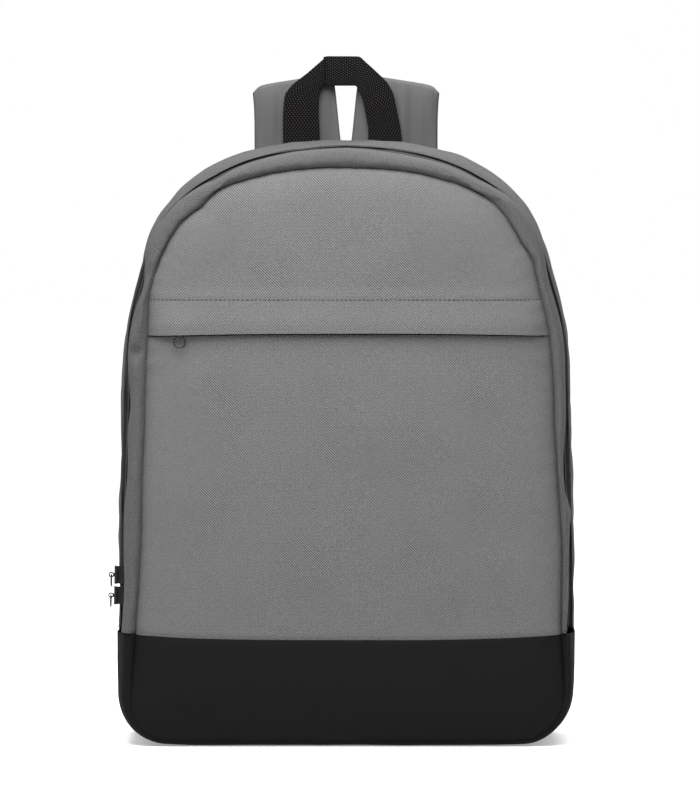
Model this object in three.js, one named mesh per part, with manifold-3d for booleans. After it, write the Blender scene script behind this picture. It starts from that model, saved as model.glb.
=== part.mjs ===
// A two-tone daypack: an arched main compartment closed by a zip round its gusset, a flat front pocket
// under a zip flap, a webbing grab handle and two padded shoulder straps with ladder-lock adjusters.
// Millimetres, +Z up. The front faces -Y and the wearer's back is at +Y. The origin is on the ground, under
// the middle of the base. Left is the wearer's left, at -X.
//
// The shell is drawn as a straight prism first: an outline in X and Z, carried along the depth Y. bulge()
// then tucks the outline in towards the front and back seams, as stuffed fabric does, and every soft piece
// goes through it, so that neighbours keep their gaps.
import * as THREE from "three";
import { mergeVertices } from "three/addons/utils/BufferGeometryUtils.js";
import Module from "manifold-3d";

const wasm = await Module();
wasm.setup();

// ---- Driving dimensions ----------------------------------------------------------------------------------
const HEIGHT = 406; // the shell, without the handle and straps
const HALF_WIDTH_BASE = 155.5;
const HALF_WIDTH_SHOULDER = 151.5; // where the straight sides end and the arch starts
const SHOULDER_Z = 256;
const ARCH_EXPONENT = 2.55; // of the superellipse that the arch is
const CORNER_RADIUS = 34; // the two lower corners of the outline
const BASE_TOP = 77; // where the dark base ends and the body fabric starts
const FRONT_SEAM_Y = -52;
const BACK_Y = 60;
const GIRTH = { front: -18, back: 20 }; // between these depths the shell has its full outline
const FRONT_TUCK = { x: 0.07, z: 0.032 }; // how far the outline shrinks at the front seam, as a share
const BACK_TUCK = { x: 0.035, z: 0.008 };
const CROWN = 9; // how far the front panel swells past its seam

const FABRIC = 2; // a fabric panel with its coating and seam allowance
const LINING = 1;
const FOAM = 5;
const TAPE = 0.8; // zip tape
const WEBBING = { width: 25, thickness: 1.4 };
const GAP = 0.3; // between neighbouring pieces

const ZIP_Y = -21.5; // the main zip's centre line
const ZIP_OPENING = 9; // between the two gusset edges that flank the chain
const COIL = { gap: 1.4, width: 1.4, thickness: 1.7 }; // gap is between the two halves of a chain
const TAPE_REACH = 10.5; // how far a tape runs back from the chain's centre line

const POCKET_ZIP_Z = 295; // in the prism, before bulge()
const FLAP = { low: 290, high: 313, thickness: 1.4, lowStand: 3.6, highStand: 0.9 };
const POCKET_DEPTH = 8; // from the front seam to the pocket's lining

const HANDLE = { x: -2, legPitch: 57.5, top: 461, underside: 441.5, y: 58.5, thickness: 1.8, lift: 1 };
const STRAP = { thickness: 8, rootWidth: 55, endWidth: 38 };

// ---- Materials -------------------------------------------------------------------------------------------
const material = (color, roughness, metalness = 0) =>
  new THREE.MeshStandardMaterial({ color, roughness, metalness });
const greyFabric = material(0x787878, 0.85);
const blackFabric = material(0x202020, 0.85);
const blackWebbing = material(0x262424, 0.8);
const zipTape = material(0x181818, 0.9);
const zipCoil = material(0x222222, 0.45);
const foam = material(0xb8b8b4, 0.95);
const gunmetal = material(0x3a3a3c, 0.35, 0.9);
const blackPlastic = material(0x1c1c1e, 0.4);

const root = new THREE.Group();
function add(name, geometry, look, parent = root) {
  const mesh = new THREE.Mesh(geometry, look);
  mesh.name = name;
  parent.add(mesh);
  return mesh;
}

// ---- The shell's outline ---------------------------------------------------------------------------------
const mix = THREE.MathUtils.lerp;

// Half the prism's width at height z. It is round at the lower corners and a superellipse over the shoulder.
function halfWidthAt(z) {
  if (z < CORNER_RADIUS) {
    const drop = CORNER_RADIUS - z;
    return HALF_WIDTH_BASE - CORNER_RADIUS + Math.sqrt(CORNER_RADIUS ** 2 - drop ** 2);
  }
  if (z < SHOULDER_Z) {
    const share = Math.max(0, (z - BASE_TOP) / (SHOULDER_Z - BASE_TOP));
    return mix(HALF_WIDTH_BASE, HALF_WIDTH_SHOULDER, share);
  }
  const rise = Math.min(1, (z - SHOULDER_Z) / (HEIGHT - SHOULDER_Z));
  return HALF_WIDTH_SHOULDER * (1 - rise ** ARCH_EXPONENT) ** (1 / ARCH_EXPONENT);
}

// The outline over the top, from the left side at height low, to the same height on the right.
class ArchCurve extends THREE.Curve {
  constructor(low) {
    super();
    this.low = low;
  }

  getPoint(t) {
    const sideShare = 0.42; // of half the curve's parameter, spent on the straight side
    const s = 1 - Math.abs(2 * t - 1);
    const side = t < 0.5 ? -1 : 1;
    if (s < sideShare) {
      const z = mix(this.low, SHOULDER_Z, s / sideShare);
      return new THREE.Vector2(side * halfWidthAt(z), z);
    }
    const angle = (((s - sideShare) / (1 - sideShare)) * Math.PI) / 2;
    const power = 2 / ARCH_EXPONENT;
    return new THREE.Vector2(
      side * HALF_WIDTH_SHOULDER * Math.cos(angle) ** power,
      SHOULDER_Z + (HEIGHT - SHOULDER_Z) * Math.sin(angle) ** power,
    );
  }
}

// The outline under the base, from the left side at height BASE_TOP, to the same height on the right.
class BaseCurve extends THREE.Curve {
  getPoint(t) {
    const cornerStart = 0.25; // where the curve's half parameter reaches the corner, and where it leaves it
    const cornerEnd = 0.7;
    const s = 1 - Math.abs(2 * t - 1);
    const side = t < 0.5 ? -1 : 1;
    const cornerX = HALF_WIDTH_BASE - CORNER_RADIUS;
    if (s < cornerStart) {
      return new THREE.Vector2(side * HALF_WIDTH_BASE, mix(BASE_TOP, CORNER_RADIUS, s / cornerStart));
    }
    if (s < cornerEnd) {
      const angle = (((s - cornerStart) / (cornerEnd - cornerStart)) * Math.PI) / 2;
      const x = cornerX + CORNER_RADIUS * Math.cos(angle);
      return new THREE.Vector2(side * x, CORNER_RADIUS * (1 - Math.sin(angle)));
    }
    return new THREE.Vector2(side * mix(cornerX, 0, (s - cornerEnd) / (1 - cornerEnd)), 0);
  }
}

// The whole outline as one loop, from just left of the middle of the base round to just right of it.
class LoopCurve extends THREE.Curve {
  constructor() {
    super();
    this.base = new BaseCurve();
    this.arch = new ArchCurve(BASE_TOP);
  }

  getPoint(t) {
    const baseShare = SEGMENTS.base / 2 / (SEGMENTS.base + SEGMENTS.arch);
    const open = 0.008; // the binding's two ends stop this far from the middle of the base
    if (t < baseShare) return this.base.getPoint(mix(0.5 - open, 0, t / baseShare));
    if (t > 1 - baseShare) return this.base.getPoint(mix(1, 0.5 + open, (t - 1 + baseShare) / baseShare));
    return this.arch.getPoint((t - baseShare) / (1 - 2 * baseShare));
  }
}

// A point of an outline, moved towards the middle of the pack by inset.
function insetPoint(curve, t, inset) {
  const step = 1e-4;
  const before = curve.getPoint(Math.max(0, t - step));
  const along = curve.getPoint(Math.min(1, t + step)).sub(before).normalize();
  const point = curve.getPoint(t);
  const inward = new THREE.Vector2(along.y, -along.x);
  const middle = new THREE.Vector2(0, HEIGHT / 2).sub(point);
  if (inward.dot(middle) < 0) inward.negate();
  return point.addScaledVector(inward, inset);
}

// Stuffed fabric: the prism's outline is full in the middle and tucked in towards both seams.
function tuckAt(y) {
  const toFront = Math.max(0, (GIRTH.front - y) / (GIRTH.front - FRONT_SEAM_Y)) ** 2;
  const toBack = Math.max(0, (y - GIRTH.back) / (BACK_Y - GIRTH.back)) ** 2;
  return {
    x: 1 - FRONT_TUCK.x * toFront - BACK_TUCK.x * toBack,
    z: 1 - FRONT_TUCK.z * toFront - BACK_TUCK.z * toBack,
  };
}
function bulge(x, y, z) {
  const tuck = tuckAt(y);
  return new THREE.Vector3(x * tuck.x, y, z * tuck.z);
}

// How far the front face stands forward at a point of the prism, from 0 at the seam to 1.
function crownAt(x, z) {
  const across = Math.min(1, Math.abs(x) / Math.max(1, halfWidthAt(z)));
  const up = Math.min(1, Math.abs(z - HEIGHT / 2) / (HEIGHT / 2));
  return (1 - across ** 16) * (1 - up ** 4);
}

// ---- Bent plates -----------------------------------------------------------------------------------------
// A unit box whose points place(u, v, w) moves, each of u, v and w from 0 to 1. It always faces out.
function bentPlate(uSegments, vSegments, place) {
  const geometry = new THREE.BoxGeometry(1, 1, 1, uSegments, vSegments, 1);
  geometry.deleteAttribute("normal");
  geometry.deleteAttribute("uv");
  const at = geometry.attributes.position;
  for (let i = 0; i < at.count; i += 1) {
    const p = place(at.getX(i) + 0.5, at.getY(i) + 0.5, at.getZ(i) + 0.5);
    at.setXYZ(i, p.x, p.y, p.z);
  }
  if (signedVolume(geometry) < 0) geometry.index.array.reverse();
  return geometry;
}

function signedVolume(geometry) {
  const corners = [0, 1, 2].map(() => new THREE.Vector3());
  const { index, attributes } = geometry;
  let sum = 0;
  for (let i = 0; i < index.count; i += 3) {
    corners.forEach((corner, k) => corner.fromBufferAttribute(attributes.position, index.getX(i + k)));
    sum += corners[0].dot(corners[1].cross(corners[2]));
  }
  return sum / 6;
}

// A strip that follows an outline: inset and inset + thickness are its faces, y0 and y1 its edges. All the
// strips on one outline have the same facets along it, and facets short enough to nest across it.
const SEGMENTS = { arch: 36, base: 22 };
const STRIP_FACET = 9.5;
function rimStrip(curve, segments, { y0, y1, inset = 0, thickness = FABRIC }) {
  const across = Math.ceil(Math.abs(y1 - y0) / STRIP_FACET);
  return bentPlate(across, segments, (u, v, w) => {
    const y = mix(y0, y1, u);
    const point = insetPoint(curve, v, inset + thickness * w);
    return bulge(point.x, y, point.y);
  });
}

// Everything on the front face has the same columns of facets, which close up towards the edges.
const COLUMNS = 12;
function columnX(u, z) {
  return Math.sin((u - 0.5) * Math.PI) * halfWidthAt(z);
}

// A panel that fills the outline between two heights. inset shrinks the outline all round, and crown is how
// far the panel swells forward. A flat panel needs few columns.
function facePanel({ low, high, y, thickness, inset = 0, crown = 0, rows = 7 }) {
  const columns = crown ? COLUMNS : 2;
  const share = 1 - inset / HALF_WIDTH_BASE;
  const outlineZ = (z) => THREE.MathUtils.clamp(((z - inset) * HEIGHT) / (HEIGHT - 2 * inset), 0, HEIGHT);
  return bentPlate(columns, rows, (u, v, w) => {
    const z = mix(low, high, (1 - Math.cos(v * Math.PI)) / 2); // rows close up towards both ends
    const x = share * columnX(u, outlineZ(z));
    const placed = bulge(x, y, z);
    return placed.setY(y + thickness * w - crown * crownAt(x, z));
  });
}

// The narrow top of an arch can't close to a point, so panels stop this far below it.
const ARCH_TRIM = 0.2;

// ---- Shell: root body ------------------------------------------------------------------------------------
const gussetFront = FRONT_SEAM_Y + FABRIC + GAP;
const gussetBack = BACK_Y - FABRIC - GAP;
const upperLow = BASE_TOP + 0.8; // the lower edge of everything above the base
const innerInset = FABRIC + 2.4;

function addBackPanel() {
  const full = { low: 0, high: HEIGHT - ARCH_TRIM, rows: 12 };
  const inner = { low: innerInset, high: HEIGHT - innerInset - ARCH_TRIM, inset: innerInset, rows: 12 };
  const foamY = gussetBack - FOAM;
  add("back_panel", facePanel({ ...full, y: BACK_Y - FABRIC, thickness: FABRIC }), greyFabric);
  add("back_foam", facePanel({ ...inner, y: foamY, thickness: FOAM }), foam);
  add("back_lining", facePanel({ ...inner, y: foamY - GAP - LINING, thickness: LINING }), blackFabric);
}

function addBase() {
  const strip = { y0: gussetFront, y1: gussetBack };
  add("base_gusset", rimStrip(new BaseCurve(), SEGMENTS.base, strip), blackFabric);
  const panel = { low: 0, high: BASE_TOP, y: FRONT_SEAM_Y, thickness: FABRIC, crown: CROWN, rows: 6 };
  add("front_base_panel", facePanel(panel), blackFabric);
}

function addRearGusset() {
  const strip = { y0: ZIP_Y + ZIP_OPENING / 2, y1: gussetBack };
  add("rear_gusset", rimStrip(new ArchCurve(upperLow), SEGMENTS.arch, strip), greyFabric);
}

// Narrow tape that covers the raw edges of the two long seams, inside the pack.
function addSeamBindings(frontShell) {
  const tape = { inset: FABRIC + GAP, thickness: 1.2 };
  const front = { ...tape, y0: FRONT_SEAM_Y + 10, y1: FRONT_SEAM_Y + 17 };
  const back = { ...tape, y0: 42, y1: 49 };
  const frontArch = rimStrip(new ArchCurve(upperLow), SEGMENTS.arch, front);
  add("back_seam_binding", rimStrip(new LoopCurve(), SEGMENTS.base + SEGMENTS.arch, back), blackFabric);
  add("base_seam_binding", rimStrip(new BaseCurve(), SEGMENTS.base, front), blackFabric);
  add("front_seam_binding", frontArch, blackFabric, frontShell);
}

// ---- Main zip --------------------------------------------------------------------------------------------
// One half of a chain: side is -1 for the half in front of the centre line and 1 for the half behind it.
function addMainZipHalf(name, side, parent) {
  const near = ZIP_Y + (side * COIL.gap) / 2;
  const path = new ArchCurve(upperLow);
  const far = { tape: ZIP_Y + side * TAPE_REACH, coil: near + side * COIL.width };
  const tape = { y0: near, y1: far.tape, inset: FABRIC + GAP, thickness: TAPE };
  const coil = { y0: near, y1: far.coil, inset: FABRIC - COIL.thickness, thickness: COIL.thickness };
  add(`main_zip_${name}_tape`, rimStrip(path, SEGMENTS.arch, tape), zipTape, parent);
  add(`main_zip_${name}_coil`, rimStrip(path, SEGMENTS.arch, coil), zipCoil, parent);
}

// ---- Zip sliders -----------------------------------------------------------------------------------------
const SLIDER = { length: 12, width: 8, plate: 1.5, clearance: 0.9, web: 0.8 };
const RING = { radius: 3.9, wire: 0.6 };
const LUG = { hole: 1.1, radius: 1.9, thickness: 1.4 };

// Joins closed geometries into one.
function union(...geometries) {
  const solids = geometries.map((geometry) => {
    geometry.deleteAttribute("normal");
    geometry.deleteAttribute("uv");
    const merged = mergeVertices(geometry, 1e-4);
    return new wasm.Manifold(
      new wasm.Mesh({
        numProp: 3,
        vertProperties: merged.attributes.position.array,
        triVerts: new Uint32Array(merged.index.array),
      }),
    );
  });
  const mesh = solids.reduce((sum, solid) => sum.add(solid)).getMesh();
  return new THREE.BufferGeometry()
    .setAttribute("position", new THREE.BufferAttribute(mesh.vertProperties, 3))
    .setIndex(new THREE.BufferAttribute(mesh.triVerts, 1));
}

// The slider's own frame: the chain runs along X with its outer face at y = 0, and outwards is -Y.
// Two plates hold the chain between them, and a web joins them through the gap between its halves.
function sliderBody() {
  const { length, width, plate, clearance, web } = SLIDER;
  const chain = COIL.thickness + GAP + TAPE;
  const bar = (low, high, tall) => {
    const box = new THREE.BoxGeometry(length, high - low, tall);
    return box.translate(0, (low + high) / 2, 0);
  };
  return union(
    bar(-clearance - plate, -clearance, width),
    bar(chain + clearance, chain + clearance + plate * 0.8, width),
    bar(-clearance - plate / 2, chain + clearance + plate / 2, web),
  );
}

// An eye for a pull ring. Its hole runs along Z at the origin, and its arm goes from the eye along +X.
function lugPlate(arm, armHalfWidth) {
  const { hole, radius, thickness } = LUG;
  const shape = new THREE.Shape();
  const turn = Math.asin(armHalfWidth / radius);
  shape.absarc(0, 0, radius, turn, 2 * Math.PI - turn);
  shape.lineTo(arm, -armHalfWidth);
  shape.lineTo(arm, armHalfWidth);
  shape.holes.push(new THREE.Path().absarc(0, 0, hole, 0, 2 * Math.PI, true));
  const options = { depth: thickness, bevelEnabled: false, curveSegments: 8 };
  return new THREE.ExtrudeGeometry(shape, options).translate(0, 0, -thickness / 2);
}

// A ring that hangs down from the origin, its wire passing through the origin along X.
function pullRing() {
  const ring = new THREE.TorusGeometry(RING.radius, RING.wire, 6, 18);
  return ring.rotateX(Math.PI / 2).translate(0, 0, -RING.radius);
}

// Two sliders, nose to nose, low on the left side of the main zip.
const MAIN_SLIDERS = { main_slider_lower: 100, main_slider_upper: 114 };
const mainEye = -SLIDER.clearance - SLIDER.plate - 2.1; // outward of the chain's outer face

// The sliders' frame: X points into the pack, Y across the chain and Z up along it.
function mainZipFrame() {
  const at = (y, z) => bulge(-halfWidthAt(z), y, z);
  const along = at(ZIP_Y, SHOULDER_Z).sub(at(ZIP_Y, BASE_TOP)).normalize();
  const across = at(ZIP_Y + 1, BASE_TOP).sub(at(ZIP_Y - 1, BASE_TOP));
  across.addScaledVector(along, -across.dot(along)).normalize();
  return new THREE.Matrix4().makeBasis(across.clone().cross(along), across, along);
}

function addMainSliders() {
  for (const [name, height] of Object.entries(MAIN_SLIDERS)) {
    const place = new THREE.Group();
    const point = insetPoint(new ArchCurve(height), 0, FABRIC - COIL.thickness);
    place.position.copy(bulge(point.x, ZIP_Y, height));
    place.quaternion.setFromRotationMatrix(mainZipFrame());
    // The eye stands on the outer plate, its hole across the chain.
    const eye = lugPlate(2.6, 1.2).rotateZ(Math.PI / 2).translate(0, mainEye, 0);
    const slider = union(sliderBody(), eye).rotateZ(-Math.PI / 2).rotateX(Math.PI / 2);
    add(name, slider, gunmetal, place);
    const ring = pullRing().rotateZ(Math.PI / 2).translate(mainEye, 0, 0);
    add(`${name}_ring`, ring, gunmetal, place);
    root.add(place);
  }
}

// ---- Front shell -----------------------------------------------------------------------------------------
const frontShell = new THREE.Group();
root.add(frontShell);

function addFrontPanels() {
  const skin = { y: FRONT_SEAM_Y, thickness: FABRIC, crown: CROWN };
  const opening = SLIDER.width / 2 + 2;
  const top = HEIGHT - ARCH_TRIM;
  const upper = { ...skin, low: POCKET_ZIP_Z + opening, high: top };
  const lower = { ...skin, low: upperLow, high: POCKET_ZIP_Z - opening };
  add("front_upper_panel", facePanel(upper), greyFabric, frontShell);
  add("front_pocket_panel", facePanel(lower), greyFabric, frontShell);
  const lining = { low: upperLow, high: FLAP.high, inset: innerInset, thickness: LINING };
  add("pocket_lining", facePanel({ ...lining, y: FRONT_SEAM_Y + POCKET_DEPTH }), blackFabric, frontShell);
}

// The flap is sewn down along its top edge and stands off the zip at its free lower edge.
function addPocketFlap() {
  const flap = bentPlate(COLUMNS, 3, (u, v, w) => {
    const z = mix(FLAP.low, FLAP.high, v);
    const x = columnX(u, z);
    const stand = mix(FLAP.lowStand, FLAP.highStand, v);
    const placed = bulge(x, FRONT_SEAM_Y, z);
    return placed.setY(FRONT_SEAM_Y - stand - FLAP.thickness * w - CROWN * crownAt(x, z));
  });
  add("pocket_zip_flap", flap, greyFabric, frontShell);
}

function addFrontGusset() {
  const strip = { y0: gussetFront, y1: ZIP_Y - ZIP_OPENING / 2 };
  add("front_gusset", rimStrip(new ArchCurve(upperLow), SEGMENTS.arch, strip), greyFabric, frontShell);
}

// The pocket chain's outer face, without the crown.
const POCKET_CHAIN_Y = FRONT_SEAM_Y + FABRIC + GAP - COIL.thickness;

// One half of the pocket zip: side is 1 above the chain's centre line and -1 below it. It stops one column
// of facets short of the side seams.
function addPocketZipHalf(name, side) {
  const strip = (from, to, y, thickness) =>
    bentPlate(COLUMNS - 2, 1, (u, v, w) => {
      const z = POCKET_ZIP_Z + side * mix(from, to, v);
      const x = columnX(mix(1 / COLUMNS, 1 - 1 / COLUMNS, u), z);
      const placed = bulge(x, FRONT_SEAM_Y, z);
      return placed.setY(y + thickness * w - CROWN * crownAt(x, z));
    });
  const near = COIL.gap / 2;
  const tape = strip(near, TAPE_REACH, POCKET_CHAIN_Y + COIL.thickness + GAP, TAPE);
  const coil = strip(near, near + COIL.width, POCKET_CHAIN_Y, COIL.thickness);
  add(`pocket_zip_${name}_tape`, tape, zipTape, frontShell);
  add(`pocket_zip_${name}_coil`, coil, zipCoil, frontShell);
}

// The pocket's slider waits at the left end of its zip. Its eye reaches below the flap, and the ring hangs
// in front of the pocket.
const POCKET_SLIDER_X = -120;
const POCKET_EYE = { out: -3.6, down: -7.4 }; // from the chain's outer face and centre line

function addPocketSlider() {
  const place = new THREE.Group();
  const at = bulge(POCKET_SLIDER_X, FRONT_SEAM_Y, POCKET_ZIP_Z);
  place.position.copy(at.setY(POCKET_CHAIN_Y - CROWN * crownAt(POCKET_SLIDER_X, POCKET_ZIP_Z)));
  const armTop = 6.4;
  const eye = lugPlate(armTop, 0.8).rotateY(-Math.PI / 2).rotateX(-0.24);
  eye.translate(0, POCKET_EYE.out, POCKET_EYE.down);
  add("pocket_slider", union(sliderBody(), eye), gunmetal, place);
  const ring = pullRing().translate(0, POCKET_EYE.out, POCKET_EYE.down);
  add("pocket_slider_ring", ring, gunmetal, place);
  frontShell.add(place);
}

// ---- Grab handle -----------------------------------------------------------------------------------------
// A loop of webbing whose legs stand side by side on the top seam and fold over at the corners. lift keeps
// its feet off the shell, so that it can fold forward.
function addGrabHandle() {
  const foot = HEIGHT * tuckAt(HANDLE.y).z + HANDLE.lift;
  const inner = (HANDLE.legPitch - WEBBING.width) / 2;
  const outer = inner + WEBBING.width;
  const halfOutline = [
    [inner, foot],
    [outer, foot],
    [outer - 1, HANDLE.underside - 4],
    [outer - 11, HANDLE.underside + 5],
    [inner - 4.5, HANDLE.top],
  ];
  const halfOpening = [
    [inner - 2.5, HANDLE.underside],
    [inner, HANDLE.underside - 6],
  ];
  const mirrored = (points) => points.map(([x, z]) => [-x, z]).reverse();
  const outline = [...halfOutline, ...mirrored(halfOutline), ...mirrored(halfOpening)];
  const points = [...outline, ...halfOpening].map(([x, z]) => new THREE.Vector2(x, z));
  const shape = new THREE.Shape(points);
  const loop = new THREE.ExtrudeGeometry(shape, { depth: HANDLE.thickness, bevelEnabled: false });
  loop.rotateX(Math.PI / 2).translate(HANDLE.x, HANDLE.y + HANDLE.thickness / 2, 0);
  add("grab_handle", loop, blackWebbing);
}

// ---- Shoulder straps -------------------------------------------------------------------------------------
// A ribbon along a space curve, its width kept as near to X as the curve allows. from and to are the
// distances of its two faces from the curve, towards the side that faces away from the wearer.
function ribbon(curve, { segments, widthAt, from, to, across = 1 }) {
  const xAxis = new THREE.Vector3(1, 0, 0);
  return bentPlate(across, segments, (u, v, w) => {
    const along = curve.getTangentAt(v);
    const wide = xAxis.clone().addScaledVector(along, -along.x).normalize();
    const outward = new THREE.Vector3().crossVectors(wide, along);
    return curve
      .getPointAt(v)
      .addScaledVector(wide, (u - 0.5) * widthAt(v))
      .addScaledVector(outward, mix(from, to, w));
  });
}

// Ladder lock, in the frame of a strap's end: Z runs up the strap, and the three bars lie across it.
const LOCK = { halfWidth: 19, slotHalfWidth: 14, thickness: 3.5, top: -10, hinge: -12 };
const LOCK_SLOTS = [
  [-21, -14],
  [-29.5, -25],
];
const LOCK_BOTTOM = -33.5;
const LOOP = { radius: 3.1, top: -1 }; // the webbing loop that holds the lock's upper bar
const TAIL = { offset: 3, turn: -23, back: -36, end: -78 };
const ANCHOR = { x: 122, y: 62.8, z: 36 };
const CREST = { x: 36.5, y: 76, z: 436.5 }; // where a strap folds over, and swings

function rectangle(x0, z0, x1, z1, path = new THREE.Shape()) {
  path.moveTo(x0, z0);
  path.lineTo(x1, z0);
  path.lineTo(x1, z1);
  path.lineTo(x0, z1);
  return path;
}

function ladderLock() {
  const { halfWidth, slotHalfWidth, thickness, top } = LOCK;
  const shape = rectangle(-halfWidth, LOCK_BOTTOM, halfWidth, top);
  for (const [low, high] of LOCK_SLOTS) {
    shape.holes.push(rectangle(-slotHalfWidth, low, slotHalfWidth, high, new THREE.Path()));
  }
  const plate = new THREE.ExtrudeGeometry(shape, { depth: thickness, bevelEnabled: false });
  return plate.rotateX(Math.PI / 2).translate(0, thickness / 2, 0);
}

// Webbing folded round a bar: inner is the fold's inner radius, and the two plies end at backZ and frontZ.
// rounding is 1 for a fold with its closed end up, and -1 with its closed end down.
function foldedWebbing({ inner, foldZ, backZ, frontZ, rounding }) {
  const outer = inner + WEBBING.thickness;
  const shape = new THREE.Shape();
  const steps = 6;
  const arc = (radius, reverse) => {
    for (let i = 0; i <= steps; i += 1) {
      const angle = (Math.PI * (reverse ? steps - i : i)) / steps;
      shape.lineTo(-radius * Math.cos(angle), foldZ + rounding * radius * Math.sin(angle));
    }
  };
  shape.moveTo(-outer, backZ);
  arc(outer, false);
  shape.lineTo(outer, frontZ);
  shape.lineTo(inner, frontZ);
  arc(inner, true);
  shape.lineTo(-inner, backZ);
  const width = WEBBING.width;
  const fold = new THREE.ExtrudeGeometry(shape, { depth: width, bevelEnabled: false });
  return fold.rotateX(Math.PI / 2).rotateZ(Math.PI / 2).translate(-width / 2, 0, 0);
}

// A strap is two skins over a foam core.
function addStrapLayers(name, path, segments, widthAt) {
  const half = STRAP.thickness / 2;
  const skin = 1.2;
  const gap = 0.5; // the facets twist a little
  const layer = (from, to) => ribbon(path, { segments, widthAt, from, to, across: 2 });
  add(`${name}_cover`, layer(half - skin, half), greyFabric);
  add(`${name}_foam`, layer(-half + skin + gap, half - skin - gap), foam);
  add(`${name}_lining`, layer(-half, -half + skin), greyFabric);
}

// side is -1 for the left strap and 1 for the right one.
function addStrap(name, side) {
  const point = (x, y, z) => new THREE.Vector3(side * x, y, z);
  const crest = point(CREST.x, CREST.y, CREST.z);
  const rise = new THREE.CubicBezierCurve3(
    point(33.5, 65.2, HEIGHT + 1.5),
    point(34.5, 65.2, HEIGHT + 12),
    point(CREST.x, CREST.y - 9, CREST.z),
    point(CREST.x, CREST.y - GAP / 2, CREST.z),
  );
  const over = new THREE.CubicBezierCurve3(
    point(CREST.x, CREST.y + GAP / 2, CREST.z),
    point(CREST.x, CREST.y + 12, CREST.z),
    point(38.5, 97, CREST.z - 12),
    point(40, 97.5, 392),
  );
  // up points back from the anchor to the strap's end, along the taut webbing.
  const end = point(70, 87, 186);
  const anchor = point(ANCHOR.x, ANCHOR.y, ANCHOR.z);
  const up = end.clone().sub(anchor).normalize();
  const aboveEnd = end.clone().addScaledVector(up, 64);
  const down = new THREE.CubicBezierCurve3(point(40, 97.5, 392), point(43, 98.5, 325), aboveEnd, end);
  const path = new THREE.CurvePath();
  path.add(over);
  path.add(down);
  const widthAt = (v) => mix(STRAP.rootWidth, STRAP.endWidth, v ** 2.5);
  addStrapLayers(`${name}_strap`, path, 26, widthAt);
  addStrapLayers(`${name}_strap_root`, rise, 8, () => STRAP.rootWidth);

  // The strap's end frame: its Z axis is up.
  const wide = new THREE.Vector3(1, 0, 0).addScaledVector(up, -up.x).normalize();
  const frame = new THREE.Matrix4().makeBasis(wide, new THREE.Vector3().crossVectors(up, wide), up);
  const endFrame = new THREE.Group();
  endFrame.position.copy(end);
  endFrame.quaternion.setFromRotationMatrix(frame);
  root.add(endFrame);

  const loop = { inner: LOOP.radius, foldZ: LOCK.hinge, backZ: LOOP.top, frontZ: LOOP.top, rounding: -1 };
  add(`${name}_buckle_loop`, foldedWebbing(loop), blackWebbing, endFrame);
  add(`${name}_ladder_lock`, ladderLock(), blackPlastic, endFrame);
  const tail = { inner: TAIL.offset, foldZ: TAIL.turn, backZ: TAIL.back, frontZ: TAIL.end, rounding: 1 };
  add(`${name}_webbing_tail`, foldedWebbing(tail), blackWebbing, endFrame);

  // The lower webbing carries on from the tail's back ply, down to the anchor on the back panel.
  endFrame.updateMatrixWorld(true);
  const plyY = -TAIL.offset - WEBBING.thickness / 2;
  const start = endFrame.localToWorld(new THREE.Vector3(0, plyY, TAIL.back - 0.5));
  const line = new THREE.LineCurve3(start, anchor);
  const halfThick = WEBBING.thickness / 2;
  const flat = { segments: 4, widthAt: () => WEBBING.width, from: -halfThick, to: halfThick };
  add(`${name}_lower_webbing`, ribbon(line, flat), blackWebbing);
  add(`${name}_strap_anchor`, anchorTab(anchor, up), greyFabric);
}

// A fabric tab sewn to the back panel's lower corner, wider at the corner than where it holds the webbing.
function anchorTab(anchor, up) {
  const along = new THREE.Vector2(-up.x, -up.z).normalize();
  const across = new THREE.Vector2(-along.y, along.x);
  const start = new THREE.Vector2(anchor.x, anchor.z).addScaledVector(along, 1);
  const corner = (distance, offset) =>
    start.clone().addScaledVector(along, distance).addScaledVector(across, offset);
  const tab = { length: 26, nearHalf: 13.5, farHalf: 16, thickness: 1.8 };
  const shape = new THREE.Shape([
    corner(0, -tab.nearHalf),
    corner(tab.length, -tab.farHalf),
    corner(tab.length, tab.farHalf),
    corner(0, tab.nearHalf),
  ]);
  const plate = new THREE.ExtrudeGeometry(shape, { depth: tab.thickness, bevelEnabled: false });
  return plate.rotateX(Math.PI / 2).translate(0, BACK_Y + GAP + tab.thickness, 0);
}

// ---- Assembly --------------------------------------------------------------------------------------------
addBackPanel();
addBase();
addRearGusset();
addSeamBindings(frontShell);
addMainZipHalf("rear", 1, root);
addMainZipHalf("front", -1, frontShell);
addMainSliders();
addFrontPanels();
addPocketFlap();
addFrontGusset();
addPocketZipHalf("upper", 1);
addPocketZipHalf("lower", -1);
addPocketSlider();
addGrabHandle();
addStrap("left", -1);
addStrap("right", 1);

export default root;
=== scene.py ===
"""The daypack's looks: cloth, webbing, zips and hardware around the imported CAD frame.

Metres, +Z up, front at -Y. The shell is lofted: an outline in X and Z, the same arch as the CAD model's, is
walked by arc length, and each cloth piece is a section of (inset, y) points carried round it. Panels fill
the outline as Coons patches, and their depth follows the distance from the seam. Puckers and folds come
from smooth noise, which is the same each run.
"""

import math

import bmesh
import bpy
import numpy as np
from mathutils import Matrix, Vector, noise

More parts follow.
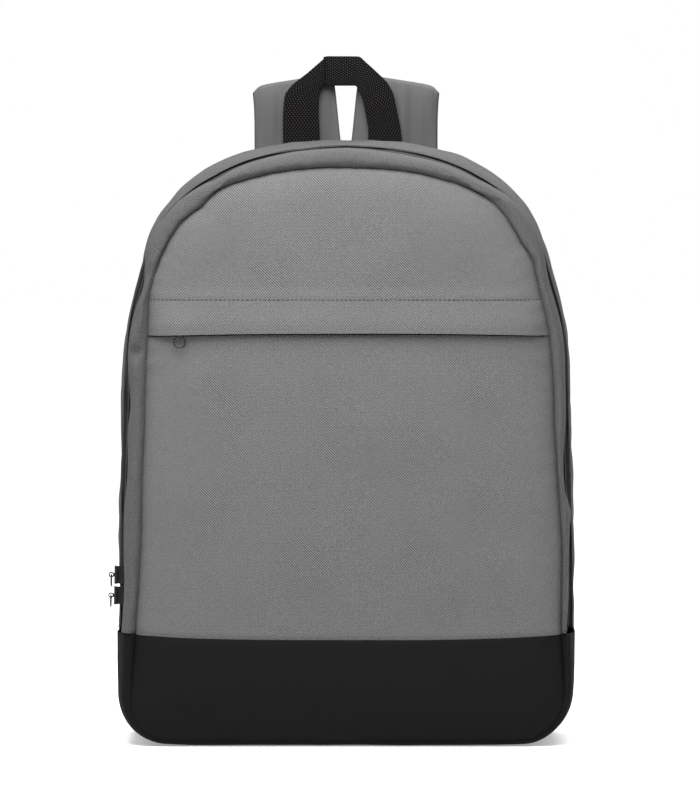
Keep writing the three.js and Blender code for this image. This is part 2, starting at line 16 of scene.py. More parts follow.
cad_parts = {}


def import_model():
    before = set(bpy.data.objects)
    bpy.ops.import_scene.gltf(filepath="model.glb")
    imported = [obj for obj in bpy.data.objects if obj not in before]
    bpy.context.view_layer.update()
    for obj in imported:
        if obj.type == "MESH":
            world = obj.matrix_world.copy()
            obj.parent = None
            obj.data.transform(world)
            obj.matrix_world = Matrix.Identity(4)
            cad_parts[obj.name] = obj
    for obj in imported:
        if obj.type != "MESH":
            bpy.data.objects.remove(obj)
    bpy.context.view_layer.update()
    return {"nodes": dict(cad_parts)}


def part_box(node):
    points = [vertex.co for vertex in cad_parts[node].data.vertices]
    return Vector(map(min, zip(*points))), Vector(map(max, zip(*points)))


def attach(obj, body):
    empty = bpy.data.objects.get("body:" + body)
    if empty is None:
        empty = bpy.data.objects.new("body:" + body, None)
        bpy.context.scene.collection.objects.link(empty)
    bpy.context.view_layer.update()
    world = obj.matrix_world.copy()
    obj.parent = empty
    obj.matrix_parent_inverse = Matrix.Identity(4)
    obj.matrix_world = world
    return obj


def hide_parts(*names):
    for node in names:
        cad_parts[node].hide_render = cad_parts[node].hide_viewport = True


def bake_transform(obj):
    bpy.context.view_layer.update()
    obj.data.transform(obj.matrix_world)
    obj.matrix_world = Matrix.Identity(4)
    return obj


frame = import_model()

# ---- Sizes, from the frame --------------------------------------------------------------------------------
MM = 0.001
LOW, HIGH = 0, 1


def side(node, end, axis):
    """One face of a CAD node's box: end is LOW or HIGH, and axis is "x", "y" or "z"."""
    return getattr(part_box(node)[end], axis)


def middle_of(node, axis):
    """The middle of a CAD node's box along an axis."""
    return (side(node, LOW, axis) + side(node, HIGH, axis)) / 2


TOP_Z = side("rear_gusset", HIGH, "z")
BASE_TOP_Z = side("base_gusset", HIGH, "z")
HALF_BASE = side("base_gusset", HIGH, "x")
FRONT_SEAM_Y = side("front_pocket_panel", HIGH, "y") - 2 * MM
FRONT_Y = side("front_pocket_panel", LOW, "y")
BACK_Y = side("back_panel", HIGH, "y")
ZIP_Y = (side("main_zip_front_coil", HIGH, "y") + side("main_zip_rear_coil", LOW, "y")) / 2
ZIP_FRONT_Y = side("front_gusset", HIGH, "y")  # the two gusset edges that flank the main zip
ZIP_REAR_Y = side("rear_gusset", LOW, "y")
FLAP_Z = side("pocket_zip_flap", LOW, "z")
FLAP_STITCH_Z = side("pocket_zip_flap", HIGH, "z") - 0.5 * MM
HALF_SHOULDER = 151.5 * MM
SHOULDER_Z = 256 * MM
ARCH_EXPONENT = 2.55
CORNER_RADIUS = 34 * MM
CLOTH = 0.9 * MM


def mix(a, b, t):
    return a + (b - a) * t


def smooth(low, high, value):
    """0 below low, 1 above high, and a smooth step between them."""
    t = np.clip((np.asarray(value, float) - low) / (high - low), 0, 1)
    return t * t * (3 - 2 * t)


def bell(value, middle, width):
    """1 at the middle, fading to almost 0 at twice the width from it."""
    return np.exp(-(((value - middle) / width) ** 2))


def walked(points):
    """The distance walked along a polyline, at each of its points."""
    return np.concatenate([[0], np.cumsum(np.linalg.norm(np.diff(points, axis=0), axis=1))])


def at_distance(wanted, steps, points):
    """Where a polyline is after the wanted distances. steps is the distance walked at each of its points."""
    return np.stack([np.interp(wanted, steps, column) for column in points.T], axis=1)


def points_of(*coordinates):
    """Points from their coordinates, each broadcast to the shape of the others."""
    return np.stack(np.broadcast_arrays(*coordinates), axis=-1)


# ---- The outline, walked by arc length --------------------------------------------------------------------
def outline_loop():
    """Points from the middle of the base, left, up, over the top and back down the right side."""
    fan = np.linspace(0, math.pi / 2, 120)
    flat_x = HALF_BASE - CORNER_RADIUS
    flat = [(-x, 0.0) for x in np.linspace(0, flat_x, 60, endpoint=False)]
    corner = [(-flat_x - CORNER_RADIUS * math.sin(a), CORNER_RADIUS * (1 - math.cos(a))) for a in fan[:-1]]
    wall = [(-HALF_BASE, z) for z in np.linspace(CORNER_RADIUS, BASE_TOP_Z, 30, endpoint=False)]
    rise = np.linspace(0, 1, 120, endpoint=False)
    straight = [(-mix(HALF_BASE, HALF_SHOULDER, t), mix(BASE_TOP_Z, SHOULDER_Z, t)) for t in rise]
    power = 2 / ARCH_EXPONENT
    arch = [
        (-HALF_SHOULDER * math.cos(a) ** power, SHOULDER_Z + (TOP_Z - SHOULDER_Z) * math.sin(a) ** power)
        for a in np.linspace(0, math.pi / 2, 400)
    ]
    left = flat + corner + wall + straight + arch
    right = [(-x, z) for x, z in reversed(left)]
    return np.array(left + right[1:])


def smoothed(values, width):
    """A running mean over a closed loop, which rounds the corners that a formula leaves."""
    kernel = np.ones(width) / width
    padded = np.concatenate([values[-width:], values, values[:width]])
    return np.convolve(padded, kernel, "same")[width:-width]


LOOP = outline_loop()
STEP = walked(LOOP)
LENGTH = STEP[-1]
EVEN = np.linspace(0, LENGTH, 2001)[:-1]
OUTLINE = at_distance(EVEN, STEP, LOOP)
TANGENT = np.stack([smoothed(np.gradient(OUTLINE[:, k]), 9) for k in (0, 1)], axis=1)
TANGENT[:5] = TANGENT[-5:] = (-1.0, 0.0)
TANGENT /= np.linalg.norm(TANGENT, axis=1)[:, None]
INWARD = points_of(TANGENT[:, 1], -TANGENT[:, 0])


def slack():
    """Unfilled, the pack draws in at its shoulders and at the bottom's round corners."""
    left = OUTLINE[:, 0] < 0
    z = OUTLINE[:, 1]
    depth = np.where(left, 3.5 * MM, 4.6 * MM)
    middle = np.where(left, 302 * MM, 314 * MM)
    shoulders = depth * bell(z, middle, 38 * MM)
    from_corner = np.hypot(np.abs(OUTLINE[:, 0]) - HALF_BASE + 10 * MM, z - 10 * MM)
    corners = np.where(left, 1.4 * MM, 3.0 * MM) * bell(from_corner, 0, 24 * MM)
    base = 0.9 * MM * (1 - smooth(70 * MM, 150 * MM, z)) * smooth(8 * MM, 30 * MM, z)
    return shoulders + corners + base


OUTLINE += INWARD * slack()[:, None]


def along(values, s):
    """A table over the outline read at arc lengths s, round the loop."""
    s = np.mod(s, LENGTH)
    extended = np.concatenate([values, values[:1]])
    return np.interp(s, np.append(EVEN, LENGTH), extended)


def outline_at(s, inset):
    """X and Z at arc length s, inset metres inside the outline."""
    x = along(OUTLINE[:, 0], s) + inset * along(INWARD[:, 0], s)
    z = along(OUTLINE[:, 1], s) + inset * along(INWARD[:, 1], s)
    return x, z


def arc_where(z, right=False):
    """The arc length at which the outline's left or right side passes height z, above the corners."""
    half = np.arange(60, 1000)
    s = float(np.interp(z, OUTLINE[half, 1], EVEN[half]))
    return LENGTH - s if right else s


ARCH_START = arc_where(BASE_TOP_Z)
ARCH_END = arc_where(BASE_TOP_Z, right=True)
MIDDLE = LENGTH / 2


# ---- Folds and puckers ------------------------------------------------------------------------------------
def wander(s, scale, seed):
    """Smooth noise from -1 to 1 along an arc length."""
    flat = np.ravel(s)
    values = [noise.noise(Vector((v / scale, seed * 7.31, 0.5))) for v in flat]
    return np.reshape(values, np.shape(s)) * 1.6


def ripple(points, scale, seed):
    """Smooth noise from -1 to 1 in space, at an array of points."""
    flat = points.reshape(-1, 3) / scale
    values = [noise.noise(Vector(p) + Vector((seed * 3.7, 0, 0))) for p in flat]
    return np.reshape(values, points.shape[:-1]) * 1.6


def from_top(s):
    """Arc length from the middle of the arch."""
    return np.abs(np.mod(s, LENGTH) - MIDDLE)


def on_left(s):
    return np.mod(s, LENGTH) < MIDDLE


def shoulder_share(s):
    """1 over the two shoulders of the arch and 0 on its sides and top, where the cloth lies smoother."""
    return bell(from_top(s), 128 * MM, 40 * MM)


def by_side(s, heights, left, right):
    """Depths in millimetres read by height, with one list for each side."""
    _, z = outline_at(s, 0)
    heights = np.array(heights) * MM
    return np.where(on_left(s), np.interp(z, heights, left), np.interp(z, heights, right)) * MM


def broken_line(s, step, seed):
    """Random values joined by straight runs, from -1 to 1, along an arc length."""
    knots = np.arange(0, LENGTH + step, step)
    values = np.random.default_rng(seed).uniform(-1, 1, len(knots))
    return np.interp(np.mod(s, LENGTH), knots, values)


def seam_wobble(s):
    """How far a sewn seam strays sideways. It breaks into short straight runs over the shoulders."""
    return 0.3 * MM * wander(s, 30 * MM, 3) + 3.4 * MM * shoulder_share(s) * broken_line(s, 19 * MM, 9)


def seam_inset(s):
    """From the silhouette to the front seam. The pack sits twisted, so its left gusset shows more."""
    heights = (0, 12, 40, 76, 108, 134, 187, 231, 277, 300, 325)
    left = (3.6, 5.0, 9.0, 11.6, 13.4, 15.0, 15.2, 15.6, 14.4, 12.2, 10.8)
    right = (3.6, 4.4, 6.2, 8.2, 7.8, 7.6, 9.8, 10.8, 11.6, 11.4, 10.8)
    sides = by_side(s, heights, left, right)
    stops, insets = (0, 70, 120, 160, 200), (14.2, 14.4, 13.0, 12, 11)
    arch = np.interp(from_top(s), np.array(stops) * MM, insets) * MM
    share = smooth(185 * MM, 215 * MM, from_top(s))
    return mix(arch, sides, share) + seam_wobble(s)


ARCH_STOPS = (0, 55, 95, 125, 150, 200)  # millimetres from the arch's top, where its edge insets are given


def front_edge_inset(s):
    """The front gusset's edge beside the zip. It sinks where the zip shows, but not over the shoulders."""
    heights = (0, 60, 84, 110, 150, 158, 172, 200, 231, 262, 325)
    left = (1.0, 3.0, 4.2, 4.6, 5.0, 5.2, 5.4, 5.8, 6.6, 3.6, 3.2)
    right = (1.0, 4.0, 6.2, 5.2, 3.8, 3.0, 6.2, 6.2, 4.6, 3.6, 3.2)
    sides = by_side(s, heights, left, right) + 0.4 * MM * wander(s, 33 * MM, 6)
    arch = np.interp(from_top(s), np.array(ARCH_STOPS) * MM, (3.4, 6.0, 7.2, 3.4, 2.8, 3.4)) * MM
    gape = np.where(on_left(s), 4.2 * MM, 2.0 * MM) * bell(from_top(s), 188 * MM, 18 * MM)
    return mix(arch, sides, smooth(185 * MM, 215 * MM, from_top(s))) + gape


def rear_edge_inset(s):
    """The rear gusset's edge beside the zip. It stands proud of the front one, except over the shoulders."""
    sides = 1.3 * MM + 0.4 * MM * wander(s, 29 * MM, 5)
    arch = np.interp(from_top(s), np.array(ARCH_STOPS) * MM, (1.6, 3.6, 4.8, 3.8, 3.3, 2.4)) * MM
    return mix(arch, sides, smooth(175 * MM, 225 * MM, from_top(s)))


# ---- Meshes -----------------------------------------------------------------------------------------------
UV = "cloth"


def add_object(name, data):
    piece = bpy.data.objects.new(name, data)
    bpy.context.scene.collection.objects.link(piece)
    return piece


def new_object(name, vertices, faces, uvs=None, material=None, slot=None):
    """A smooth-shaded mesh object. uvs holds one (u, v) in metres for each vertex."""
    mesh = bpy.data.meshes.new(name)
    mesh.from_pydata([tuple(v) for v in vertices], [], [tuple(int(i) for i in f) for f in faces])
    layer = mesh.uv_layers.new(name=UV)
    if uvs is not None:
        loops = np.zeros(len(mesh.loops), np.int32)
        mesh.loops.foreach_get("vertex_index", loops)
        layer.data.foreach_set("uv", np.asarray(uvs, float)[loops].ravel())
    mesh.validate()
    mesh.shade_smooth()
    piece = add_object(name, mesh)
    if material:
        mesh.materials.append(material)
    return piece


def grid_faces(rows, columns):
    """Quads of a grid whose vertices run row by row."""
    index = np.arange(rows * columns).reshape(rows, columns)
    a, b = index[:-1, :-1], index[:-1, 1:]
    c, d = index[1:, 1:], index[1:, :-1]
    return np.stack([a, b, c, d], axis=-1).reshape(-1, 4)


def arc_lengths(points, axis):
    """Cumulative length along one axis of a grid of points."""
    steps = np.linalg.norm(np.diff(points, axis=axis), axis=-1)
    start = np.zeros_like(np.take(steps, [0], axis=axis))
    return np.concatenate([start, np.cumsum(steps, axis=axis)], axis=axis)


def cloth_grid(name, points, uv, look, outward, thickness=CLOTH):
    """A sheet from a grid of points. Its thickness is laid inward from the given face, and outward is a
    point that the sheet's outer face looks away from."""
    rows, columns = points.shape[:2]
    faces = grid_faces(rows, columns)
    middle = points[rows // 2, columns // 2]
    across = points[rows // 2, columns // 2 + 1] - middle
    down = points[rows // 2 + 1, columns // 2] - middle
    if np.dot(np.cross(across, down), middle - np.array(outward)) < 0:
        faces = faces[:, ::-1]
    piece = new_object(name, points.reshape(-1, 3), faces, uv.reshape(-1, 2), *look)
    weld(piece)
    solidify = piece.modifiers.new("cloth", "SOLIDIFY")
    solidify.thickness = thickness
    solidify.offset = -1
    return piece


def weld(piece, distance=0.02 * MM):
    """Merges vertices that lie together, and removes the faces that this leaves without area."""
    mesh = bmesh.new()
    mesh.from_mesh(piece.data)
    bmesh.ops.remove_doubles(mesh, verts=mesh.verts, dist=distance)
    bmesh.ops.dissolve_degenerate(mesh, edges=mesh.edges, dist=distance / 4)
    mesh.to_mesh(piece.data)
    mesh.free()
    piece.data.shade_smooth()


def face_outward(piece):
    """Turns the faces of a closed mesh outward."""
    mesh = bmesh.new()
    mesh.from_mesh(piece.data)
    bmesh.ops.recalc_face_normals(mesh, faces=mesh.faces)
    mesh.to_mesh(piece.data)
    mesh.free()


def closed_tube(name, rows, length, look):
    """A tube through rows of points, each row once round it, with its ends closed. length is how far along
    the tube each row lies."""
    count, sides = rows.shape[:2]
    closed = np.concatenate([rows, rows[:, :1]], axis=1)
    uv = points_of(arc_lengths(closed, 1), length)
    faces = [tuple(f) for f in grid_faces(count, sides + 1)]
    faces.append(tuple(range(sides))[::-1])
    faces.append(tuple((count - 1) * (sides + 1) + k for k in range(sides)))
    piece = new_object(name, closed.reshape(-1, 3), faces, uv.reshape(-1, 2), *look)
    weld(piece)
    face_outward(piece)
    return piece


CORE = (0.0, 0.0, TOP_Z / 2)  # a point inside the pack
RIM_SPACING = 2.4 * MM


def rim(name, start, end, section, look, lumps=0.5 * MM, seed=0, thickness=CLOTH, sheet=False):
    s = np.linspace(start, end, int((end - start) / RIM_SPACING))
    columns = section(s)
    lines = []
    for inset, y in columns:
        x, z = outline_at(s, inset)
        lines.append(points_of(x, y, z))
    points = np.stack(lines, axis=1)
    fade = np.sin(np.linspace(0, math.pi, len(columns)))[None, :]
    push = lumps * fade * (ripple(points, 42 * MM, seed) + 0.5 * ripple(points, 17 * MM, seed + 9))
    points[..., 0] -= push * along(INWARD[:, 0], s)[:, None]
    points[..., 2] -= push * along(INWARD[:, 1], s)[:, None]
    uv = points_of(arc_lengths(points, 1), s[:, None])
    piece = cloth_grid(name, points, uv, look, CORE, thickness)
    return declare_sheet(piece, uv) if sheet else piece


def section_curve(controls, count):
    """count (inset, y) columns along a smooth curve through control columns, arrays over arc length."""
    knots = np.arange(len(controls))
    wanted = np.linspace(0, len(controls) - 1, count)
    insets = np.stack([np.broadcast_to(c[0], np.shape(controls[0][0])) for c in controls])
    depths = np.stack([np.broadcast_to(c[1], np.shape(controls[0][0])) for c in controls])
    return [(catmull(knots, insets, w), catmull(knots, depths, w)) for w in wanted]


def catmull(knots, values, w):
    """A Catmull-Rom spline through rows of values at whole-number knots."""
    i = int(min(math.floor(w), len(knots) - 2))
    t = w - i
    p0, p1 = values[max(i - 1, 0)], values[i]
    p2, p3 = values[i + 1], values[min(i + 2, len(knots) - 1)]
    return 0.5 * (
        2 * p1 + (p2 - p0) * t + (2 * p0 - 5 * p1 + 4 * p2 - p3) * t**2 + (3 * p1 - p0 - 3 * p2 + p3) * t**3
    )


def rounded(knots, values, w):
    """Between a smooth spline and straight runs, which keeps a folded corner from overshooting."""
    i = int(min(math.floor(w), len(knots) - 2))
    straight = mix(values[i], values[i + 1], w - i)
    return mix(straight, catmull(knots, values, w), 0.45)


def edge_spacing(count):
    """Shares from 0 to 1 that lie closer together towards both ends."""
    t = np.linspace(0, 1, count)
    return mix(t, (1 - np.cos(math.pi * t)) / 2, 0.75)


def coons(bottom, top, left, right):
    """A patch between four curves of X and Z. bottom and top run to the right, left and right run up."""
    u = edge_spacing(len(bottom))[None, :, None]
    v = edge_spacing(len(left))[:, None, None]
    ruled = (1 - v) * bottom[None] + v * top[None] + (1 - u) * left[:, None] + u * right[:, None]
    below = (1 - u) * bottom[0] + u * bottom[-1]
    above = (1 - u) * top[0] + u * top[-1]
    return ruled - (1 - v) * below - v * above


def edge_distance(flat, s_samples, inset):
    """How far points of X and Z are from the outline's inset curve, and the arc length nearest to each."""
    curve = points_of(*outline_at(s_samples, inset(s_samples)))
    points = flat.reshape(-1, 2)
    nearest = np.zeros(len(points), int)
    distance = np.zeros(len(points))
    batch = 2000  # points at a time, to spare memory
    for i in range(0, len(points), batch):
        gaps = np.linalg.norm(points[i : i + batch, None] - curve[None], axis=2)
        nearest[i : i + batch] = gaps.argmin(axis=1)
        distance[i : i + batch] = gaps.min(axis=1)
    shape = flat.shape[:-1]
    return distance.reshape(shape), s_samples[nearest].reshape(shape)


def face_patch(name, flat, depth, look, outward_y, thickness=CLOTH):
    """A panel from a patch of X and Z, whose Y is depth(flat). outward_y is a Y behind its outer face."""
    points = points_of(flat[..., 0], depth(flat), flat[..., 1])
    return cloth_grid(name, points, flat.copy(), look, (0, outward_y, TOP_Z / 2), thickness)


def declare_sheet(piece, cut):
    """Works out the area a cloth piece is cut to, from a grid of its flat coordinates, keeps it nowhere, and
    returns the piece unchanged.
    """
    one = cut[1:, 1:] - cut[:-1, :-1]
    other = cut[1:, :-1] - cut[:-1, 1:]
    area = float(abs(np.sum(one[..., 0] * other[..., 1] - one[..., 1] * other[..., 0])) / 2)
    return piece


# ---- Materials --------------------------------------------------------------------------------------------
class Value:
    """A node's output. Arithmetic on it adds Math nodes."""

    def __init__(self, tree, output):
        self.tree = tree
        self.output = output

    def __add__(self, other):
        return math_node(self.tree, "ADD", self, other)

    def __sub__(self, other):
        return math_node(self.tree, "SUBTRACT", self, other)

    def __rsub__(self, other):
        return math_node(self.tree, "SUBTRACT", other, self)

    def __mul__(self, other):
        return math_node(self.tree, "MULTIPLY", self, other)


def math_node(tree, operation, *values):
    """A Math node of numbers and Values."""
    node = tree.nodes.new("ShaderNodeMath")
    node.operation = operation
    for socket, value in zip(node.inputs, values):
        if isinstance(value, Value):
            tree.links.new(value.output, socket)
        else:
            socket.default_value = value
    return Value(tree, node.outputs[0])


class Nodes:
    """A material and short names for building its node tree."""

    def __init__(self, name, roughness=0.8, metallic=0.0, sheen=0.0, specular=0.5):
        self.material = bpy.data.materials.new(name)
        self.material.use_nodes = True
        self.tree = self.material.node_tree
        self.shader = self.tree.nodes["Principled BSDF"]
        self.shader.inputs["Roughness"].default_value = roughness
        self.shader.inputs["Metallic"].default_value = metallic
        self.shader.inputs["Sheen Weight"].default_value = sheen
        self.shader.inputs["Sheen Roughness"].default_value = 0.5
        self.shader.inputs["Specular IOR Level"].default_value = specular

    def add(self, kind, **settings):
        node = self.tree.nodes.new(kind)
        for key, value in settings.items():
            setattr(node, key, value)
        return node

    def output(self, node, name):
        return Value(self.tree, node.outputs[name])

    def link(self, value, socket):
        self.tree.links.new(value.output, socket)

    def math(self, operation, *values):
        return math_node(self.tree, operation, *values)

    def uv(self):
        """The cloth's own U and V, in metres."""
        split = self.add("ShaderNodeSeparateXYZ")
        self.link(self.output(self.add("ShaderNodeUVMap", uv_map=UV), "UV"), split.inputs[0])
        return self.output(split, "X"), self.output(split, "Y")

    def noise(self, metres, detail=2.0):
        """Noise from 0 to 1 in space, with lumps of about that size."""
        coordinates = self.add("ShaderNodeTexCoord")
        texture = self.add("ShaderNodeTexNoise")
        texture.inputs["Scale"].default_value = 1 / metres
        texture.inputs["Detail"].default_value = detail
        self.link(self.output(coordinates, "Object"), texture.inputs["Vector"])
        return self.output(texture, "Fac")

    def wave(self, coordinate, period):
        """A sine of a coordinate, from -1 to 1."""
        return self.math("SINE", coordinate * (2 * math.pi / period))

    def shade(self, color, factor):
        """color scaled by a factor, as the base colour."""
        scale = self.add("ShaderNodeVectorMath", operation="SCALE")
        scale.inputs[0].default_value = color
        self.link(factor, scale.inputs["Scale"])
        self.link(self.output(scale, 0), self.shader.inputs["Base Color"])

    def bump(self, height, distance, strength=1.0):
        node = self.add("ShaderNodeBump")
        node.inputs["Distance"].default_value = distance
        node.inputs["Strength"].default_value = strength
        self.link(height, node.inputs["Height"])
        self.link(self.output(node, 0), self.shader.inputs["Normal"])


def srgb(level):
    """The linear value of an sRGB level from 0 to 255."""
    c = level / 255
    return c / 12.92 if c <= 0.04045 else ((c + 0.055) / 1.055) ** 2.4


def weave_material(name, color, pitch, contrast, relief, sheen=0.03, patches=0.5, specular=0.12):
    """A plain weave. pitch is one repeat, in metres. patches is how much one diagonal leads here and the
    other there, as a coarse polyester weave shows at arm's length."""
    n = Nodes(name, roughness=0.85, sheen=sheen, specular=specular)
    u, v = n.uv()
    rising = n.wave(u + v, pitch * math.sqrt(2))
    falling = n.wave(u - v, pitch * math.sqrt(2))
    checks = rising * falling
    lead = (n.noise(60 * MM, 0.0) - 0.45) * 5.0
    lead = n.math("MINIMUM", n.math("MAXIMUM", lead, -1.0), 1.0)
    up = rising * (lead * 0.5 + 0.5)
    down = falling * (0.5 - lead * 0.5)
    diagonal = (up + down) * patches
    weave = checks * (1 - patches) + diagonal
    yarn = n.noise(0.9 * MM, 1.0) - 0.5
    cloud = n.noise(70 * MM, 3.0) - 0.5
    n.shade(color, weave * contrast + 1.0 + yarn * (contrast * 1.1) + cloud * 0.08)
    n.bump(weave + yarn * 0.4, relief)
    return n.material


def webbing_material(name, color, rows=1.45 * MM, dots=2.2 * MM):
    """Ribbed webbing: staggered rows of floats across its length, with a painted highlight on the top of
    each float.
    """
    n = Nodes(name, roughness=0.8, specular=0.05)
    u, v = n.uv()
    floats = n.wave(u, dots) * n.wave(v, rows * 2)
    # painted highlight: the float tops, which lighten the base colour fifteenfold below
    raised = n.math("POWER", n.math("MAXIMUM", floats, 0.0), 4.0)
    grain = n.noise(0.9 * MM, 2.0) - 0.5
    n.shade(color, raised * 15.0 + (grain * 0.5 + 0.3))
    n.bump(floats + grain * 0.6, 0.2 * MM)
    return n.material


def tape_material(name, color):
    """Knitted tape: fine ribs along its length."""
    n = Nodes(name, roughness=0.9, specular=0.2)
    u, v = n.uv()
    ribs = n.wave(u, 1.1 * MM) + n.wave(v, 0.8 * MM) * 0.5
    n.shade(color, ribs * 0.18 + 1.0)
    n.bump(ribs, 0.12 * MM)
    return n.material


def moulded_material(name, color, roughness, grain, metallic=0.0):
    """Moulded plastic or plated metal: a faint grain, uneven gloss and rubbed edges."""
    n = Nodes(name, roughness=roughness, metallic=metallic)
    mottle = n.noise(6 * MM, 4.0) - 0.5
    pits = n.noise(0.5 * MM, 2.0)
    edge = n.output(n.add("ShaderNodeNewGeometry"), "Pointiness")
    rubbed = n.math("MAXIMUM", edge - 0.53, 0.0) * 6.0
    n.shade(color, mottle * 0.25 + 1.0 + rubbed)
    n.link(mottle * 0.2 + roughness, n.shader.inputs["Roughness"])
    n.bump(pits, grain)
    return n.material


def grey(level):
    return (srgb(level),) * 3


GREY_CLOTH = weave_material("grey_polyester", grey(69), 1.3 * MM, 0.62, 0.22 * MM, patches=0.75)
# painted shade: the gussets' cloth is a darker copy of the grey polyester, for the shade on their
# sideways-facing sides
SHADED_GUSSET_CLOTH = weave_material("gusset_polyester_shaded", grey(59), 1.25 * MM, 0.95, 0.4 * MM, patches=0.5)
STRAP_CLOTH = weave_material("strap_polyester", grey(56), 0.9 * MM, 0.25, 0.1 * MM, patches=0.3)
# the black base cloth, which also paints the shadow strip under the flap's edge
BLACK_CLOTH_AND_FLAP_SHADOW = weave_material("black_polyester_and_flap_shadow", grey(10), 0.8 * MM, 0.12, 0.05 * MM, sheen=0.0, patches=0.1,
                             specular=0.06)
LINING_CLOTH = weave_material("lining_cloth", grey(44), 0.6 * MM, 0.08, 0.04 * MM, patches=0.0)
BINDING = tape_material("edge_binding", grey(24))
ZIP_TAPE = tape_material("zip_tape", grey(8))
WEBBING = webbing_material("webbing", (srgb(9), srgb(8), srgb(8)))
COIL = moulded_material("zip_coil", grey(10), 0.6, 0.02 * MM)
PLASTIC = moulded_material("buckle_acetal", grey(27), 0.42, 0.03 * MM)
METAL = moulded_material("gunmetal", grey(24), 0.46, 0.01 * MM, metallic=0.75)
THREAD = moulded_material("thread", grey(70), 0.7, 0.05 * MM)
# dark stitches on the flap, and also the painted shadow line in the front seam's groove
DARK_STITCH_AND_SEAM_SHADOW = moulded_material("dark_stitch_and_seam_shadow", grey(14), 0.8, 0.05 * MM)

GREY_LOOK = (GREY_CLOTH, "grey_fabric")
SHADED_GUSSET_LOOK = (SHADED_GUSSET_CLOTH, "grey_fabric")
BLACK_AND_FLAP_SHADOW_LOOK = (BLACK_CLOTH_AND_FLAP_SHADOW, "black_fabric")
STRAP_LOOK = (STRAP_CLOTH, "grey_fabric")
LINING_LOOK = (LINING_CLOTH, "lining_fabric")
BINDING_LOOK = (BINDING, "binding_tape")
TAPE_LOOK = (ZIP_TAPE, "zip_tape")
COIL_LOOK = (COIL, "zip_coil")
WEBBING_LOOK = (WEBBING, "webbing")
METAL_LOOK = (METAL, "zip_metal")
PLASTIC_LOOK = (PLASTIC, "buckle_plastic")
THREAD_LOOK = (THREAD, "grey_fabric")
DARK_STITCH_AND_SEAM_SHADOW_LOOK = (DARK_STITCH_AND_SEAM_SHADOW, "grey_fabric")


def place(piece, body, *nodes):
    """The piece rides on a body and stands for CAD nodes."""
    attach(piece, body)
    if nodes:
        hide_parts(*nodes)
    return piece


# ---- Stitches, teeth and other small repeats --------------------------------------------------------------
def spindle(sides=6, rings=4):
    """A small closed spindle along X, 1 long and 1 wide: its vertices and faces."""
    vertices = [(-0.5, 0.0, 0.0)]
    for i in range(1, rings):
        angle = math.pi * i / rings
        for j in range(sides):
            turn = 2 * math.pi * j / sides
            radius = 0.5 * math.sin(angle)
            vertices.append((-0.5 * math.cos(angle), radius * math.cos(turn), radius * math.sin(turn)))
    vertices.append((0.5, 0.0, 0.0))
    last = len(vertices) - 1
    faces = []
    for j in range(sides):
        k = (j + 1) % sides
        faces.append((0, 1 + k, 1 + j))
        for i in range(rings - 2):
            a = 1 + i * sides
            faces.append((a + j, a + k, a + sides + k, a + sides + j))
        b = 1 + (rings - 2) * sides
        faces.append((last, b + j, b + k))
    return np.array(vertices), faces


def scatter(name, centres, xs, zs, size, look):
    """One mesh of spindles: at each centre, one along its x, with size (long, wide, tall)."""
    unit, unit_faces = spindle()
    xs, zs = (np.broadcast_to(np.asarray(vectors, float), centres.shape) for vectors in (xs, zs))
    xs = xs / np.linalg.norm(xs, axis=1)[:, None]
    ys = np.cross(zs, xs)
    ys /= np.linalg.norm(ys, axis=1)[:, None]
    zs = np.cross(xs, ys)
    scaled = unit * np.array(size)
    vertices = centres[:, None] + scaled[None, :, :1] * xs[:, None] + scaled[None, :, 1:2] * ys[:, None]
    vertices = vertices + scaled[None, :, 2:] * zs[:, None]
    faces = [tuple(i + n * len(unit) for i in f) for n in range(len(centres)) for f in unit_faces]
    flat = vertices.reshape(-1, 3)
    return new_object(name, flat, faces, flat[:, [0, 2]], *look)


def evenly(points, pitch):
    """Points spaced pitch apart along a polyline, and the direction at each."""
    steps = walked(points)
    count = max(2, int(steps[-1] / pitch))
    wanted = (np.arange(count) + 0.5) * steps[-1] / count
    ahead = at_distance(wanted + 0.4 * pitch, steps, points)
    behind = at_distance(wanted - 0.4 * pitch, steps, points)
    return at_distance(wanted, steps, points), ahead - behind


def stitch_row(name, points, outward, look=THREAD_LOOK, pitch=3.2 * MM):
    """Stitches along a polyline on a surface that faces outward."""
    at, direction = evenly(np.asarray(points, float), pitch)
    return scatter(name, at, direction, outward, (2.4 * MM, 0.7 * MM, 0.6 * MM), look)


# ---- The shell --------------------------------------------------------------------------------------------
ROLL = 3.6 * MM  # how far the front gusset's roll stands in front of the seam


def puckered(s, amount, period, seed):
    """Small gathers along a seam, uneven in size."""
    phase = 2 * math.pi * s / period + 2.5 * wander(s, 60 * MM, seed)
    return amount * np.sin(phase) * (0.6 + 0.5 * wander(s, 35 * MM, seed + 1))


def dent(s, height, width):
    """1 at a height on the left side, fading within a width."""
    return bell(s, arc_where(height), width)


